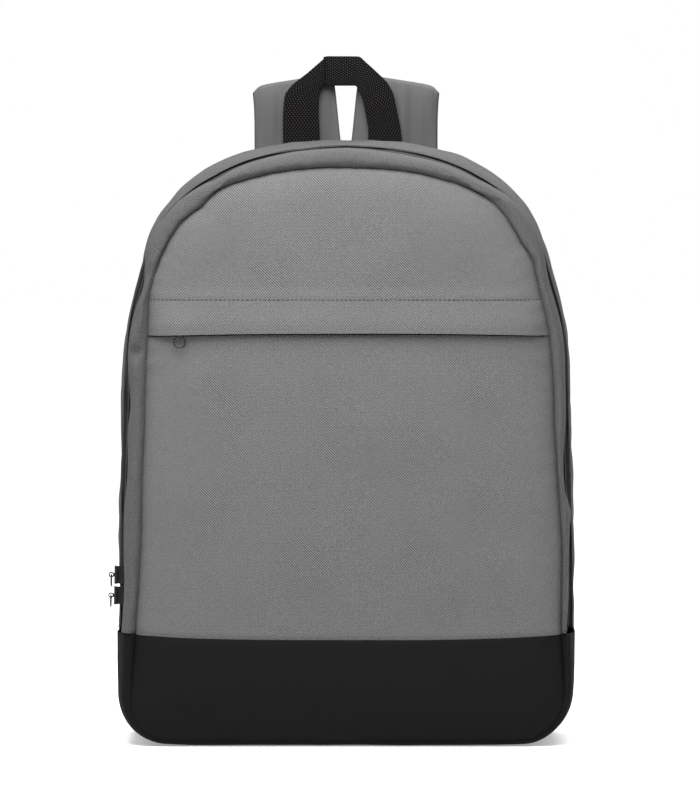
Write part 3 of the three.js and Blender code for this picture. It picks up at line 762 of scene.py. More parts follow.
def front_gusset_section(s):
    """The roll beside the front seam, then the flat that runs back to the zip."""
    seam = seam_inset(s)
    edge = front_edge_inset(s)
    crumple = (0.5 + 1.9 * shoulder_share(s)) * MM
    gather = puckered(s, 0.4 * MM, 13 * MM, 11) + crumple * broken_line(s, 11 * MM, 12)
    roll_y = FRONT_SEAM_Y - ROLL * (0.75 + 0.25 * smooth(60 * MM, 240 * MM, np.abs(s - MIDDLE)))
    fold = 4.4 * MM * dent(s, 267 * MM, 5 * MM) + 3.0 * MM * dent(s, 322 * MM, 7 * MM)
    ridge = 2.6 * MM * dent(s, 290 * MM, 14 * MM) + 1.4 * MM * dent(s, 253 * MM, 7 * MM)
    span = seam - edge
    controls = [
        (seam + 1.6 * MM, FRONT_SEAM_Y + 4.0 * MM),
        (seam + 0.4 * MM, FRONT_SEAM_Y + 0.6 * MM),
        (seam - 0.16 * span + gather, roll_y + 0.9 * MM + 0.5 * fold),
        (seam - 0.42 * span + gather, roll_y - 0.1 * MM + fold - ridge),
        (seam - 0.74 * span, roll_y + 1.6 * MM + fold),
        (edge + 0.2 * MM, FRONT_SEAM_Y + 3.5 * MM),
        (edge - 0.4 * MM, FRONT_SEAM_Y + 11 * MM),
        (edge - 0.3 * MM, ZIP_FRONT_Y - 5.5 * MM),
        (edge, ZIP_FRONT_Y - 0.7 * MM),
        (edge + 0.9 * MM, ZIP_FRONT_Y + 0.3 * MM),
        (edge + 1.7 * MM, ZIP_FRONT_Y - 1.4 * MM),
    ]
    return section_curve(controls, 36)


def rear_gusset_section(s):
    """From the folded edge behind the zip, over a full side, to the back seam."""
    edge = rear_edge_inset(s)
    sag = 1.2 * MM * wander(s, 75 * MM, 21)
    sag = sag + 1.3 * MM * dent(s, 322 * MM, 4 * MM) + 1.1 * MM * dent(s, 301 * MM, 3.5 * MM)
    controls = [
        (edge + 0.8 * MM, ZIP_REAR_Y + 2.0 * MM),
        (edge + 0.4 * MM, ZIP_REAR_Y + 0.4 * MM),
        (edge - 0.1 * MM, ZIP_REAR_Y + 0.7 * MM),
        (0.75 * edge - 0.4 * MM, ZIP_REAR_Y + 4 * MM),
        (0.3 * edge - 0.3 * MM + sag * (sag > 0), ZIP_REAR_Y + 13 * MM),
        (0.4 * MM + sag, mix(ZIP_REAR_Y, BACK_Y, 0.45)),
        (0.4 * MM + 0.6 * sag, BACK_Y - 24 * MM),
        (1.6 * MM, BACK_Y - 10 * MM),
        (4.3 * MM + puckered(s, 0.4 * MM, 15 * MM, 23), BACK_Y - 3.2 * MM),
        (6.6 * MM, BACK_Y - 1.9 * MM),
    ]
    return section_curve(controls, 38)


def base_front_y(s):
    """Where the base gusset meets the front seam: the roll dies away towards the ground."""
    _, z = outline_at(s, 0)
    return FRONT_SEAM_Y - ROLL * smooth(25 * MM, 95 * MM, z)


def base_gusset_section(s):
    """The dark gusset and bottom, from the front seam to the back seam."""
    seam = seam_inset(s)
    roll_y = base_front_y(s)
    _, z = outline_at(s, 0)
    ground = 1 - smooth(1 * MM, 16 * MM, z)  # the cloth lies flat where it stands on the ground
    sag = 0.8 * MM * wander(s, 60 * MM, 31) * (1 - ground)
    deep = smooth(12 * MM, 75 * MM, z)
    controls = [
        (seam + 1.6 * MM, FRONT_SEAM_Y + mix(2.2, 4.0, deep) * MM),
        (seam + 0.5 * MM, FRONT_SEAM_Y + mix(1.3, 0.8, deep) * MM),
        (0.80 * seam, roll_y + mix(1.1, 0.7, deep) * MM),
        (0.48 * seam, roll_y + 1.6 * MM),
        (0.20 * seam, FRONT_SEAM_Y + 6.5 * MM),
        (0.1 * MM * (1 - ground), FRONT_SEAM_Y + 15 * MM),
        (0.2 * MM * (1 - ground) + sag, ZIP_Y),
        (0.3 * MM * (1 - ground) + sag, mix(ZIP_REAR_Y, BACK_Y, 0.45)),
        (0.4 * MM * (1 - ground), BACK_Y - 24 * MM),
        (1.6 * MM * (1 - 0.6 * ground), BACK_Y - 10 * MM),
        (3.9 * MM * (1 - 0.3 * ground), BACK_Y - 3.2 * MM),
        (6.0 * MM, BACK_Y - 1.9 * MM),
    ]
    return section_curve(controls, 40)


def front_depth(flat):
    """Y of the front face at points of X and Z: a groove at the seam and a soft crown inside it."""
    samples = np.linspace(0, LENGTH, 1600)
    distance, s = edge_distance(flat, samples, seam_inset)
    x, z = flat[..., 0], flat[..., 1]
    crown = (FRONT_SEAM_Y - FRONT_Y + 0.9 * MM) * (1 - np.exp(-distance / (10 * MM)))
    groove = mix(0.2, 4.4, smooth(12 * MM, 75 * MM, z)) * MM * np.exp(-distance / (1.3 * MM))
    pucker = puckered(s, 0.55 * MM, 14 * MM, 41) * np.exp(-distance / (9 * MM))
    points = points_of(x, 0, z)
    billow = 0.9 * MM * ripple(points, 95 * MM, 3) + 0.25 * MM * ripple(points, 34 * MM, 4)
    fold = 1.3 * MM * bell(distance, 16 * MM, 9 * MM) * (x < 0)  # a soft one, low on the left
    fold = fold * (1 - smooth(120 * MM, 200 * MM, z)) * smooth(8 * MM, 30 * MM, z)
    raised = crown - groove - fold + pucker + billow * smooth(0, 30 * MM, distance)
    return FRONT_SEAM_Y + 1.6 * MM - raised


def seam_point(z, right):
    s = arc_where(z, right)
    return np.array(outline_at(s, seam_inset(np.array(s))))


def inset_curve(start, end, count, inset):
    """Points of X and Z between two arc lengths, inset(s) metres inside the outline."""
    s = mix(start, end, edge_spacing(count))
    return points_of(*outline_at(s, inset(s)))


def seam_curve(start, end, count):
    """Points of X and Z along the front seam between two arc lengths."""
    return inset_curve(start, end, count, seam_inset)


def straight_line(a, b, count):
    return a[None] + (b - a)[None] * edge_spacing(count)[:, None]


def band_patch(low, high, rows, columns):
    """The front face between two heights, neither of them in the arch."""
    left = seam_curve(arc_where(low), arc_where(high), rows)
    right = seam_curve(arc_where(low, True), arc_where(high, True), rows)
    bottom = straight_line(left[0], right[0], columns)
    top = straight_line(left[-1], right[-1], columns)
    return coons(bottom, top, left, right)


def arch_patch(low, rows, columns):
    """The front face from a height up to the top of the arch."""
    turn = 205 * MM  # arc length from the top at which the patch's sides become its top
    left = seam_curve(arc_where(low), MIDDLE - turn, rows)
    right = seam_curve(arc_where(low, True), MIDDLE + turn, rows)
    top = seam_curve(MIDDLE - turn, MIDDLE + turn, columns)
    bottom = straight_line(left[0], right[0], columns)
    return coons(bottom, top, left, right)


def base_patch(high, rows, columns):
    """The front face of the base, with its two round corners."""
    turn = 128 * MM  # arc length from the middle of the base at which its underside becomes its side
    left = seam_curve(turn, arc_where(high), rows)
    right = seam_curve(LENGTH - turn, arc_where(high, True), rows)
    bottom = seam_curve(turn, -turn, columns)
    top = straight_line(left[-1], right[-1], columns)
    return coons(bottom, top, left, right)


FLAP_STAND = 4.2 * MM  # the flap's free edge stands this far in front of the pocket, over the zip
SLIDER_LIFT = 1.0 * MM  # and a little further over the slider
SLIDER_X = middle_of("pocket_slider", "x")
BASE_SEAM_Z = side("front_base_panel", HIGH, "z")


def base_line(flat):
    """The height of the base's upper edge, which rises a little towards the sides."""
    return BASE_SEAM_Z - 1.6 * MM + 4.2 * MM * (np.abs(flat[..., 0]) / HALF_BASE) ** 3


def flap_drop(flat):
    """How much lower the flap's free edge hangs towards its ends."""
    return 2.6 * MM * (np.abs(flat[..., 0]) / HALF_BASE) ** 3


def pocket_depth(flat):
    """Y of the pocket panel, which is tucked in at its hem and at the base."""
    hem = 1.6 * MM * smooth(FLAP_Z - 3 * MM, FLAP_Z + 1.5 * MM, flat[..., 1])
    tuck = 1.0 * MM * bell(flat[..., 1], base_line(flat), 2.2 * MM)
    return front_depth(flat) + hem + tuck


def upper_depth(flat):
    """Y of the upper panel, whose flap stands out below its row of stitches."""
    x, z = flat[..., 0], flat[..., 1]
    inside = smooth(0, 18 * MM, 140 * MM - np.abs(x))
    over_slider = SLIDER_LIFT * np.exp(-(((x - SLIDER_X) / (11 * MM)) ** 4))
    stand = mix(FLAP_STAND + over_slider, 1.3 * MM, smooth(FLAP_Z + 3 * MM, FLAP_STITCH_Z, z))
    stand = stand * (1 - smooth(FLAP_STITCH_Z, FLAP_STITCH_Z + 9 * MM, z)) * mix(0.15, 1, inside)
    groove = 0.5 * MM * bell(z, FLAP_STITCH_Z, 1.2 * MM)
    points = points_of(x, 0, z * 0.4)
    wavy = 0.45 * MM * ripple(points, 48 * MM, 8) * (1 - smooth(FLAP_Z, FLAP_STITCH_Z, z))
    return front_depth(flat) - stand + groove + wavy


def build_pocket_panel():
    pocket = band_patch(BASE_SEAM_Z, FLAP_Z + 1.5 * MM, 84, 104)
    above_base = smooth(0, 60 * MM, pocket[..., 1] - BASE_SEAM_Z)
    pocket[..., 1] += (base_line(pocket) - BASE_SEAM_Z) * (1 - above_base)
    piece = face_patch("pocket_panel", pocket, pocket_depth, GREY_LOOK, 0)
    place(declare_sheet(piece, pocket), "front_shell", "front_pocket_panel")


def build_upper_panel():
    """The upper panel and its flap, in one piece of cloth."""
    upper = arch_patch(FLAP_Z, 64, 128)
    upper[..., 1] -= flap_drop(upper) * (1 - smooth(FLAP_Z, FLAP_STITCH_Z, upper[..., 1]))
    piece = face_patch("upper_panel_and_flap", upper, upper_depth, GREY_LOOK, 0, thickness=1.3 * MM)
    place(declare_sheet(piece, upper), "front_shell", "front_upper_panel", "pocket_zip_flap")


WITHIN_SEAMS = 0.985  # how wide a piece behind the front panels is, as a share of them


def build_flap_shadow_strip_and_stitching():
    """A dark strip under the flap's edge, which paints the shadow beneath it, and the stitches along its
    top.
    """
    facing = band_patch(FLAP_Z - 0.9 * MM, FLAP_Z + 12 * MM, 12, 128)
    facing[..., 0] *= WITHIN_SEAMS
    facing[..., 1] -= flap_drop(facing)

    def behind_flap(flat):
        return upper_depth(flat) + 1.5 * MM

    # painted shadow: a black cloth strip behind the flap's edge, showing below it as the dark line of the
    # shadow there
    piece = face_patch("flap_shadow_strip", facing, behind_flap, BLACK_AND_FLAP_SHADOW_LOOK, 0, thickness=0.5 * MM)
    place(piece, "front_shell")

    left, right = (seam_point(FLAP_STITCH_Z, is_right)[0] for is_right in (False, True))
    x = np.linspace(left + 2 * MM, right - 2 * MM, 120)
    y = upper_depth(points_of(x, FLAP_STITCH_Z)[None])[0]
    row = points_of(x, y - 0.2 * MM, FLAP_STITCH_Z)
    place(stitch_row("flap_stitching", row, (0, -1, 0), DARK_STITCH_AND_SEAM_SHADOW_LOOK, 3.0 * MM), "front_shell")


def build_base():
    front = base_patch(BASE_SEAM_Z, 44, 120)
    lift = smooth(20 * MM, BASE_SEAM_Z, front[..., 1])
    front[..., 1] += (base_line(front) - BASE_SEAM_Z) * lift

    def depth(flat):
        fold = 0.9 * MM * bell(np.abs(flat[..., 0]), 138 * MM, 5 * MM)
        high = smooth(10 * MM, 40 * MM, flat[..., 1])
        tuck = 0.7 * MM * bell(flat[..., 1], base_line(flat), 2.0 * MM)
        return front_depth(flat) + fold * high + tuck

    panel = declare_sheet(face_patch("base_front_panel", front, depth, BLACK_AND_FLAP_SHADOW_LOOK, 0), front)
    place(panel, "pack_body", "front_base_panel")
    gusset = rim("base_gusset_cloth", ARCH_END - LENGTH, ARCH_START, base_gusset_section, BLACK_AND_FLAP_SHADOW_LOOK,
                 lumps=0.25 * MM, seed=2, sheet=True)
    place(gusset, "pack_body", "base_gusset")


def build_gussets():
    gap = 0.4 * MM
    front = rim("front_gusset_cloth", ARCH_START + gap, ARCH_END - gap, front_gusset_section, SHADED_GUSSET_LOOK,
                lumps=0.8 * MM, seed=5, sheet=True)
    place(front, "front_shell", "front_gusset")
    rear = rim("rear_gusset_cloth", ARCH_START + gap, ARCH_END - gap, rear_gusset_section, SHADED_GUSSET_LOOK,
               lumps=1.1 * MM, seed=7, sheet=True)
    place(rear, "pack_body", "rear_gusset")


def build_seam_shadow_line():
    """A dark line of small spindles in the ditch of the front seam, which paints the shadow in its groove.
    """
    s = np.linspace(ARCH_START + 2 * MM, ARCH_END - 2 * MM, 900)
    x, z = outline_at(s, seam_inset(s) + 1.15 * MM)
    at, direction = evenly(points_of(x, FRONT_SEAM_Y + 2.3 * MM, z), 2.8 * MM)
    size = (3.2 * MM, 1.0 * MM, 0.8 * MM)
    # painted shadow: dark spindles laid end to end along the seam's groove
    thread = scatter("front_seam_shadow_line", at, direction, (0, -1, 0), size, DARK_STITCH_AND_SEAM_SHADOW_LOOK)
    place(thread, "front_shell")


BACK_INSET = 7.2 * MM  # from the outline to the back panel's sewn edge


def back_patch(inset, rows, columns):
    """The back's face, inset metres inside the outline."""
    def curve(start, end, count):
        return inset_curve(start, end, count, lambda s: inset)

    low, high = 128 * MM, 205 * MM
    left = curve(low, MIDDLE - high, rows)
    right = curve(LENGTH - low, MIDDLE + high, rows)
    bottom = curve(low, -low, columns)
    top = curve(MIDDLE - high, MIDDLE + high, columns)
    return coons(bottom, top, left, right)


def back_depth(flat):
    """Y of the back panel: a pad, with a sewn channel round its edge."""
    distance, s = edge_distance(flat, np.linspace(0, LENGTH, 1200), lambda s: BACK_INSET)
    pad = 3.6 * MM * (1 - np.exp(-distance / (10 * MM)))
    channel = 1.5 * MM * bell(distance, 9 * MM, 1.6 * MM)
    points = points_of(flat[..., 0], 0, flat[..., 1])
    billow = 0.7 * MM * ripple(points, 80 * MM, 14) * smooth(0, 25 * MM, distance)
    gather = puckered(s, 0.4 * MM, 16 * MM, 51) * np.exp(-distance / (12 * MM))
    return BACK_Y - 2.4 * MM + pad - channel + billow + gather


def build_back():
    """The padded back panel, and its lining."""
    pad = face_patch("back_panel_pad", back_patch(BACK_INSET, 90, 84), back_depth, GREY_LOOK, 0, 2 * MM)
    place(pad, "pack_body", "back_panel", "back_foam")
    flat = back_patch(6 * MM, 50, 50)
    y = side("back_lining", LOW, "y")
    lining = face_patch("back_lining_cloth", flat, lambda flat: y, LINING_LOOK, BACK_Y + 1)
    place(declare_sheet(lining, flat), "pack_body", "back_lining")


def build_pocket_lining():
    """The pocket's rear wall, drawn up to the flap's stitching."""
    flat = band_patch(BASE_SEAM_Z + 1.5 * MM, FLAP_STITCH_Z + 1 * MM, 50, 60)
    flat[..., 0] *= WITHIN_SEAMS
    y = side("pocket_lining", LOW, "y")

    def depth(points):
        rise = smooth(FLAP_Z - 20 * MM, FLAP_STITCH_Z, points[..., 1])
        return mix(y, front_depth(points) + 2.6 * MM, rise)

    lining = declare_sheet(face_patch("pocket_lining_cloth", flat, depth, LINING_LOOK, 0), flat)
    place(lining, "front_shell", "pocket_lining")


def build_bindings():
    """Edge tape over the raw edges of the long seams, inside the pack."""
    def fin(y, height):
        def section(s):
            root = 3.4 * MM if y > 0 else front_edge_inset(s) + 2.4 * MM
            wave = 0.5 * MM * wander(s, 18 * MM, 61)
            return [(root, y), (root + height / 2, y + wave), (root + height, y + 1.5 * wave)]
        return section

    front_y = side("front_seam_binding", LOW, "y") + 2 * MM
    back_y = side("back_seam_binding", HIGH, "y")
    options = {"look": BINDING_LOOK, "thickness": 1.4 * MM, "lumps": 0.0}
    arch = rim("front_seam_tape", ARCH_START + MM, ARCH_END - MM, fin(front_y, 7 * MM), **options)
    place(arch, "front_shell", "front_seam_binding")
    base = rim("base_seam_tape", ARCH_END - LENGTH + MM, ARCH_START - MM, fin(front_y, 7 * MM), **options)
    place(base, "pack_body", "base_seam_binding")
    back = rim("back_seam_tape", 2 * MM, LENGTH - 2 * MM, fin(back_y, 7 * MM), **options)
    place(back, "pack_body", "back_seam_binding")


# ---- Zips -------------------------------------------------------------------------------------------------
TOOTH = (2.9 * MM, 1.25 * MM, 1.7 * MM)  # one turn of a coil: across the chain, along it, and tall
TOOTH_PITCH = 2.0 * MM
TOOTH_OFFSET = 0.95 * MM  # from the chain's centre line
CHAIN_DEPTH = 1.2 * MM  # below the two gusset edges


def chain_inset(s):
    """The main chain runs between the two gusset edges, a little below both."""
    return (rear_edge_inset(s) + front_edge_inset(s)) / 2 + CHAIN_DEPTH


def zip_tape_section(s, sign):
    """Half of the tape: from beside the chain, level with its gusset's edge, and on beneath the gusset."""
    edge = rear_edge_inset(s) if sign > 0 else front_edge_inset(s)
    near = mix(chain_inset(s), edge, 0.12) + 0.8 * MM
    beneath = edge + 2.4 * MM
    columns = [
        (near, ZIP_Y + sign * 0.5 * MM),
        (mix(near, edge + 1.1 * MM, 0.6), ZIP_Y + sign * 2.6 * MM),
        (edge + 1.2 * MM, ZIP_Y + sign * 4.2 * MM),
        (beneath, ZIP_Y + sign * 6.2 * MM),
        (beneath + 0.3 * MM, ZIP_Y + sign * 10.5 * MM),
    ]
    return columns if sign > 0 else columns[::-1]


def build_main_zip():
    for name, body, sign in (("front", "front_shell", -1), ("rear", "pack_body", 1)):
        tape = rim(f"main_zip_{name}_tape_cloth", ARCH_START + MM, ARCH_END - MM,
                   lambda s, sign=sign: zip_tape_section(s, sign), TAPE_LOOK, lumps=0.0, thickness=0.6 * MM)
        place(tape, body, f"main_zip_{name}_tape")
        stagger = TOOTH_PITCH / 2 if sign > 0 else 0
        s = np.arange(ARCH_START + 3 * MM, ARCH_END - 3 * MM, TOOTH_PITCH) + stagger
        x, z = outline_at(s, chain_inset(s))
        centres = points_of(x, ZIP_Y + sign * TOOTH_OFFSET, z)
        outward = -points_of(along(INWARD[:, 0], s), 0, along(INWARD[:, 1], s))
        teeth = scatter(f"main_zip_{name}_teeth", centres, (0, 1, 0), outward, TOOTH, COIL_LOOK)
        place(teeth, body, f"main_zip_{name}_coil")


def build_pocket_zip():
    """The chain behind the flap."""
    def behind_face(flat):
        return front_depth(flat) + 2.6 * MM

    half = side("pocket_zip_upper_coil", HIGH, "x")
    z0 = (side("pocket_zip_upper_coil", LOW, "z") + side("pocket_zip_lower_coil", HIGH, "z")) / 2
    for name, sign in (("upper", 1), ("lower", -1)):
        xs = np.linspace(-half, half, 90)
        zs = z0 + sign * np.linspace(0.6, 10, 6) * MM
        flat = np.stack(np.meshgrid(xs, zs), axis=-1)
        tape = face_patch(f"pocket_zip_{name}_tape_cloth", flat, behind_face, TAPE_LOOK, 0, 0.7 * MM)
        place(tape, "front_shell", f"pocket_zip_{name}_tape")
        x = np.arange(-half, half, TOOTH_PITCH) + (TOOTH_PITCH / 2 if sign > 0 else 0)
        z = z0 + sign * TOOTH_OFFSET
        y = front_depth(points_of(x, z)[None])[0] + 1.8 * MM
        centres = points_of(x, y, z)
        teeth = scatter(f"pocket_zip_{name}_teeth", centres, (0, 0, 1), (0, -1, 0), TOOTH, COIL_LOOK)
        place(teeth, "front_shell", f"pocket_zip_{name}_coil")


def finer_node(node, body, look, subdivisions, bevel=0.0):
    """A finer copy of a CAD node whose shape is right, in its place."""
    mesh = frame["nodes"][node].data.copy()
    mesh.materials.clear()
    mesh.materials.append(look[0])
    piece = add_object(f"{node}_fine", mesh)
    weld(piece)
    if bevel:
        modifier = piece.modifiers.new("edges", "BEVEL")
        modifier.width = bevel
        modifier.segments = 3
        modifier.limit_method = "ANGLE"
        modifier.harden_normals = False
    if subdivisions:
        modifier = piece.modifiers.new("round", "SUBSURF")
        modifier.levels = modifier.render_levels = subdivisions
    return place(piece, body, node)


def build_hardware():
    for name in ("main_slider_upper", "main_slider_lower", "pocket_slider"):
        finer_node(name, name, METAL_LOOK, 0, bevel=0.35 * MM)
        finer_node(f"{name}_ring", f"{name}_ring", METAL_LOOK, 2)


# ---- Swept pieces: straps and webbing ---------------------------------------------------------------------
def bezier(points, count):
    """Points along a cubic Bezier curve."""
    a, b, c, d = (np.array(p, float) for p in points)
    t = np.linspace(0, 1, count)[:, None]
    return (1 - t) ** 3 * a + 3 * (1 - t) ** 2 * t * b + 3 * (1 - t) * t**2 * c + t**3 * d


def frames_along(path):
    """At each point of a path: its direction, its width direction nearest to X, and the way it faces."""
    direction = np.gradient(path, axis=0)
    direction /= np.linalg.norm(direction, axis=1)[:, None]
    wide = np.array([1.0, 0, 0]) - direction * direction[:, :1]
    wide /= np.linalg.norm(wide, axis=1)[:, None]
    return direction, wide, np.cross(wide, direction)


def sweep(name, path, ring, look):
    """A closed tube along a path. ring(share) is its loop of (across, out) at a share of the points."""
    _, wide, facing = frames_along(path)
    rows = []
    for i, point in enumerate(path):
        loop = ring(i / (len(path) - 1))
        rows.append(point + loop[:, :1] * wide[i] + loop[:, 1:] * facing[i])
    return closed_tube(name, np.stack(rows), arc_lengths(path[:, None], 0), look)


def two_faced(across, rise):
    """A closed loop of (across, out), whose two faces rise alike from the middle."""
    top = points_of(across, rise)
    return np.concatenate([top, top[-2:0:-1] * (1, -1)])


def flat_ring(width, thickness):
    """The section of a webbing: flat, with round edges."""
    u = np.linspace(-1, 1, 12)
    rise = thickness / 2 * np.sqrt(np.maximum(0, 1 - np.abs(u) ** 10))
    return two_faced(u * width / 2, rise)


STRAP_HALF = 4 * MM  # half the thickness of the padded strap
CREST = Vector((36.5 * MM, 76 * MM, 436.5 * MM))
STRAP_END = Vector((70 * MM, 87 * MM, 186 * MM))
ANCHOR = Vector((122 * MM, 62.8 * MM, 36 * MM))
STRAP_ROOT_WIDTH = 55 * MM
STRAP_END_WIDTH = 38 * MM


RISE_POINTS = 26  # points of the path up to the crest


def on_side(point, sign):
    """A point of the right side, on the side that sign gives."""
    return Vector((sign * point.x, point.y, point.z))


def strap_path(sign):
    """From the top seam, up behind the handle, over the crest and down to the ladder lock."""
    def at(x, y, z):
        return on_side(Vector((x, y, z)) * MM, sign)

    above = STRAP_END + (STRAP_END - ANCHOR).normalized() * 64 * MM
    crest = on_side(CREST, sign)
    bend = at(34, 97.5, 392)
    rise = bezier([at(32.4, 61.2, 388), at(33.4, 66.0, 414), at(36, 64.5, 436), crest], RISE_POINTS)
    over = bezier([crest, at(36.5, 88, 436.5), at(35, 97, 424.5), bend], 26)
    down = bezier([bend, at(32, 98.5, 330), on_side(above, sign), on_side(STRAP_END, sign)], 90)
    return np.concatenate([rise, over[1:], down[1:]])


def build_strap(name, sign):
    path = strap_path(sign)
    shares = walked(path) / walked(path)[-1]
    crest_at = shares[RISE_POINTS - 1]

    def hang(share):
        """0 up to the crest, and 1 at the strap's end."""
        return max(0.0, (share - crest_at) / (1 - crest_at))

    def half_width(share):
        return mix(STRAP_ROOT_WIDTH, STRAP_END_WIDTH, hang(share) ** 2.5) / 2

    def ring(index_share):
        share = float(np.interp(index_share, np.linspace(0, 1, len(shares)), shares))
        stub = 2.5 * MM * (1 - float(smooth(0.0, crest_at, share)))
        half = half_width(share) + stub - 1.2 * MM * float(smooth(0, 0.1, hang(share)))
        fullness = mix(0.3, 1.0, float(smooth(0.0, crest_at * 0.9, share)))
        fullness *= mix(0.45, 1.0, float(smooth(0.0, 0.04, 1 - share)))
        pinch = 0.5 * bell(share, crest_at, 0.012)
        u = np.linspace(-1, 1, 33)
        body = np.sqrt(np.maximum(0, 1 - np.abs(u / 0.93) ** 7))
        seam = 0.8 * MM * (1 - np.abs(u) ** 12) ** 0.5
        thick = np.maximum(body * STRAP_HALF * fullness * (1 - pinch), seam)
        return two_faced(u * half, thick)

    strap = sweep(f"{name}_strap_padded", path, ring, STRAP_LOOK)
    soften_strap(strap, sign)
    layers = ("cover", "foam", "lining")
    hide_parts(*(f"{name}_strap{part}_{layer}" for part in ("", "_root") for layer in layers))
    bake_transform(strap)
    _, wide, facing = frames_along(path)
    lower = slice(44, len(path) - 3)  # the part that hangs
    half = np.array([half_width(share) for share in shares])
    for edge in (-1, 1):
        line = path + wide * (edge * (half - 3.4 * MM))[:, None] + facing * (STRAP_HALF * 0.86)
        where = "outer" if edge * sign > 0 else "inner"
        row = stitch_row(f"{name}_strap_stitching_{where}", line[lower], (0, 1, 0), pitch=3.6 * MM)
        place(row, f"{name}_strap")


def soften_strap(strap, sign):
    """Slants the crest fold down towards the outside and gives the stub its soft vertical creases."""
    for vertex in strap.data.vertices:
        x, y, z = vertex.co
        at_crest = float(smooth(CREST.z - 30 * MM, CREST.z - 2 * MM, z))
        outer = max(0.0, (sign * x - 59 * MM) / (5 * MM))
        vertex.co.z += (2.0 * MM + 0.15 * (64 * MM - sign * x) - 2.2 * MM * outer**2) * at_crest
        crease = noise.noise(Vector((x / (7 * MM), sign * 5, z / (70 * MM))))
        front = 2.6 if y < CREST.y else 0.4
        vertex.co.y += 0.9 * MM * front * crease
        vertex.co.y += 0.6 * MM * noise.noise(Vector((x / (30 * MM), 3 + sign, z / (30 * MM))))


def end_frame(sign):
    """The frame at a strap's end: its origin, and its width, facing and upward directions."""
    end = on_side(STRAP_END, sign)
    up = (end - on_side(ANCHOR, sign)).normalized()
    wide = (Vector((1, 0, 0)) - up * up.x).normalized()
    return end, wide, up.cross(wide), up


def fold_path(inner, fold, first, second, sign_up):
    """The middle line of webbing folded round a bar: (out, up) points of one ply, the fold and the other."""
    radius = inner + 0.7 * MM
    turn = np.linspace(0, math.pi, 13)
    arc = [(-radius * math.cos(a), fold + sign_up * radius * math.sin(a)) for a in turn]
    return np.array([(-radius, first), *arc, (radius, second)])


WEBBING_WIDTH = 25 * MM
TOP_BAR = -12 * MM  # the ladder lock's bars, upwards from the strap's end
MIDDLE_BAR = -23 * MM
HALF_BAR = 2 * MM


def webbing_piece(name, centre, wide, thickness=1.4 * MM):
    """Webbing along a middle line, with its width along one direction throughout."""
    steps = walked(centre)
    even = np.linspace(0, steps[-1], max(8, int(steps[-1] / (1.6 * MM))))
    path = at_distance(even, steps, centre)
    direction = np.gradient(path, axis=0)
    direction /= np.linalg.norm(direction, axis=1)[:, None]
    facing = np.cross(np.array(wide)[None], direction)
    loop = flat_ring(WEBBING_WIDTH, thickness)
    points = path[:, None] + loop[None, :, :1] * np.array(wide) + loop[None, :, 1:] * facing[:, None]
    return closed_tube(name, points, even[:, None], WEBBING_LOOK)


def build_adjuster(name, sign):
    """The webbing loop, ladder lock, threaded tail and lower webbing at a strap's end."""
    end, wide, facing, up = end_frame(sign)

    def world(points):
        return np.array([end + facing * p[0] + up * p[1] for p in points])

    loop = fold_path(3.1 * MM, TOP_BAR, 6 * MM, 6 * MM, -1)
    place(webbing_piece(f"{name}_lock_loop", world(loop), wide), f"{name}_strap", f"{name}_buckle_loop")

    lock = ladder_lock(f"{name}_ladder_lock_moulding", end, wide, facing, up)
    place(lock, f"{name}_adjuster", f"{name}_ladder_lock")

    tail = fold_path(3.0 * MM, MIDDLE_BAR, -38 * MM, -72 * MM, 1)
    tail = np.concatenate([tail, [(4.4 * MM, -76 * MM), (5.2 * MM, -79 * MM)]])
    tail = webbing_piece(f"{name}_tail_webbing", world(tail), wide)
    place(tail, f"{name}_adjuster", f"{name}_webbing_tail")

    ply = -3.7 * MM
    start = np.array(end + facing * ply - up * 34 * MM)
    finish = np.array(on_side(ANCHOR, sign) - up * 6 * MM)
    t = np.linspace(0, 1, 40)[:, None]
    line = start + (finish - start) * t + np.array([0, 2.2 * MM, 0]) * np.sin(math.pi * t)
    lower = webbing_piece(f"{name}_lower_webbing_cloth", line, wide)
    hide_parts(f"{name}_lower_webbing")
    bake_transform(lower)
    build_anchor(name, sign, up)


def ladder_lock(name, end, wide, facing, up):
    """Two rails and three bars, with rounded edges. The lowest bar is a lip with grip ribs."""
    mesh = bmesh.new()

    def bar(x0, x1, z0, z1, y0=-1.75 * MM, y1=1.75 * MM):
        made = bmesh.ops.create_cube(mesh, size=1)["verts"]
        for vertex in made:
            share = vertex.co + Vector((0.5, 0.5, 0.5))
            x, y, z = mix(x0, x1, share.x), mix(y0, y1, share.y), mix(z0, z1, share.z)
            vertex.co = end + wide * x + facing * y + up * z
        edges = list(dict.fromkeys(e for v in made for e in v.link_edges))
        bmesh.ops.bevel(mesh, geom=edges, offset=0.8 * MM, segments=3, affect="EDGES", profile=0.5)

    rail, slot = 19 * MM, 14 * MM
    for s in (-1, 1):
        bar(s * slot - 0.4 * MM * s, s * rail, -33.5 * MM, -10 * MM)
    for middle in (TOP_BAR, MIDDLE_BAR):
        bar(-slot, slot, middle - HALF_BAR, middle + HALF_BAR)
    bar(-rail, rail, -33.5 * MM, -29.5 * MM, -1.75 * MM, 2.4 * MM)
    for k in range(-5, 6):
        x = k * 2.4 * MM
        bar(x - 0.5 * MM, x + 0.5 * MM, -31.5 * MM, -29.2 * MM, 1.2 * MM, 2.9 * MM)
    data = bpy.data.meshes.new(name)
    mesh.to_mesh(data)
    mesh.free()
    data.shade_smooth()
    data.materials.append(PLASTIC_LOOK[0])
    piece = add_object(name, data)
    return piece


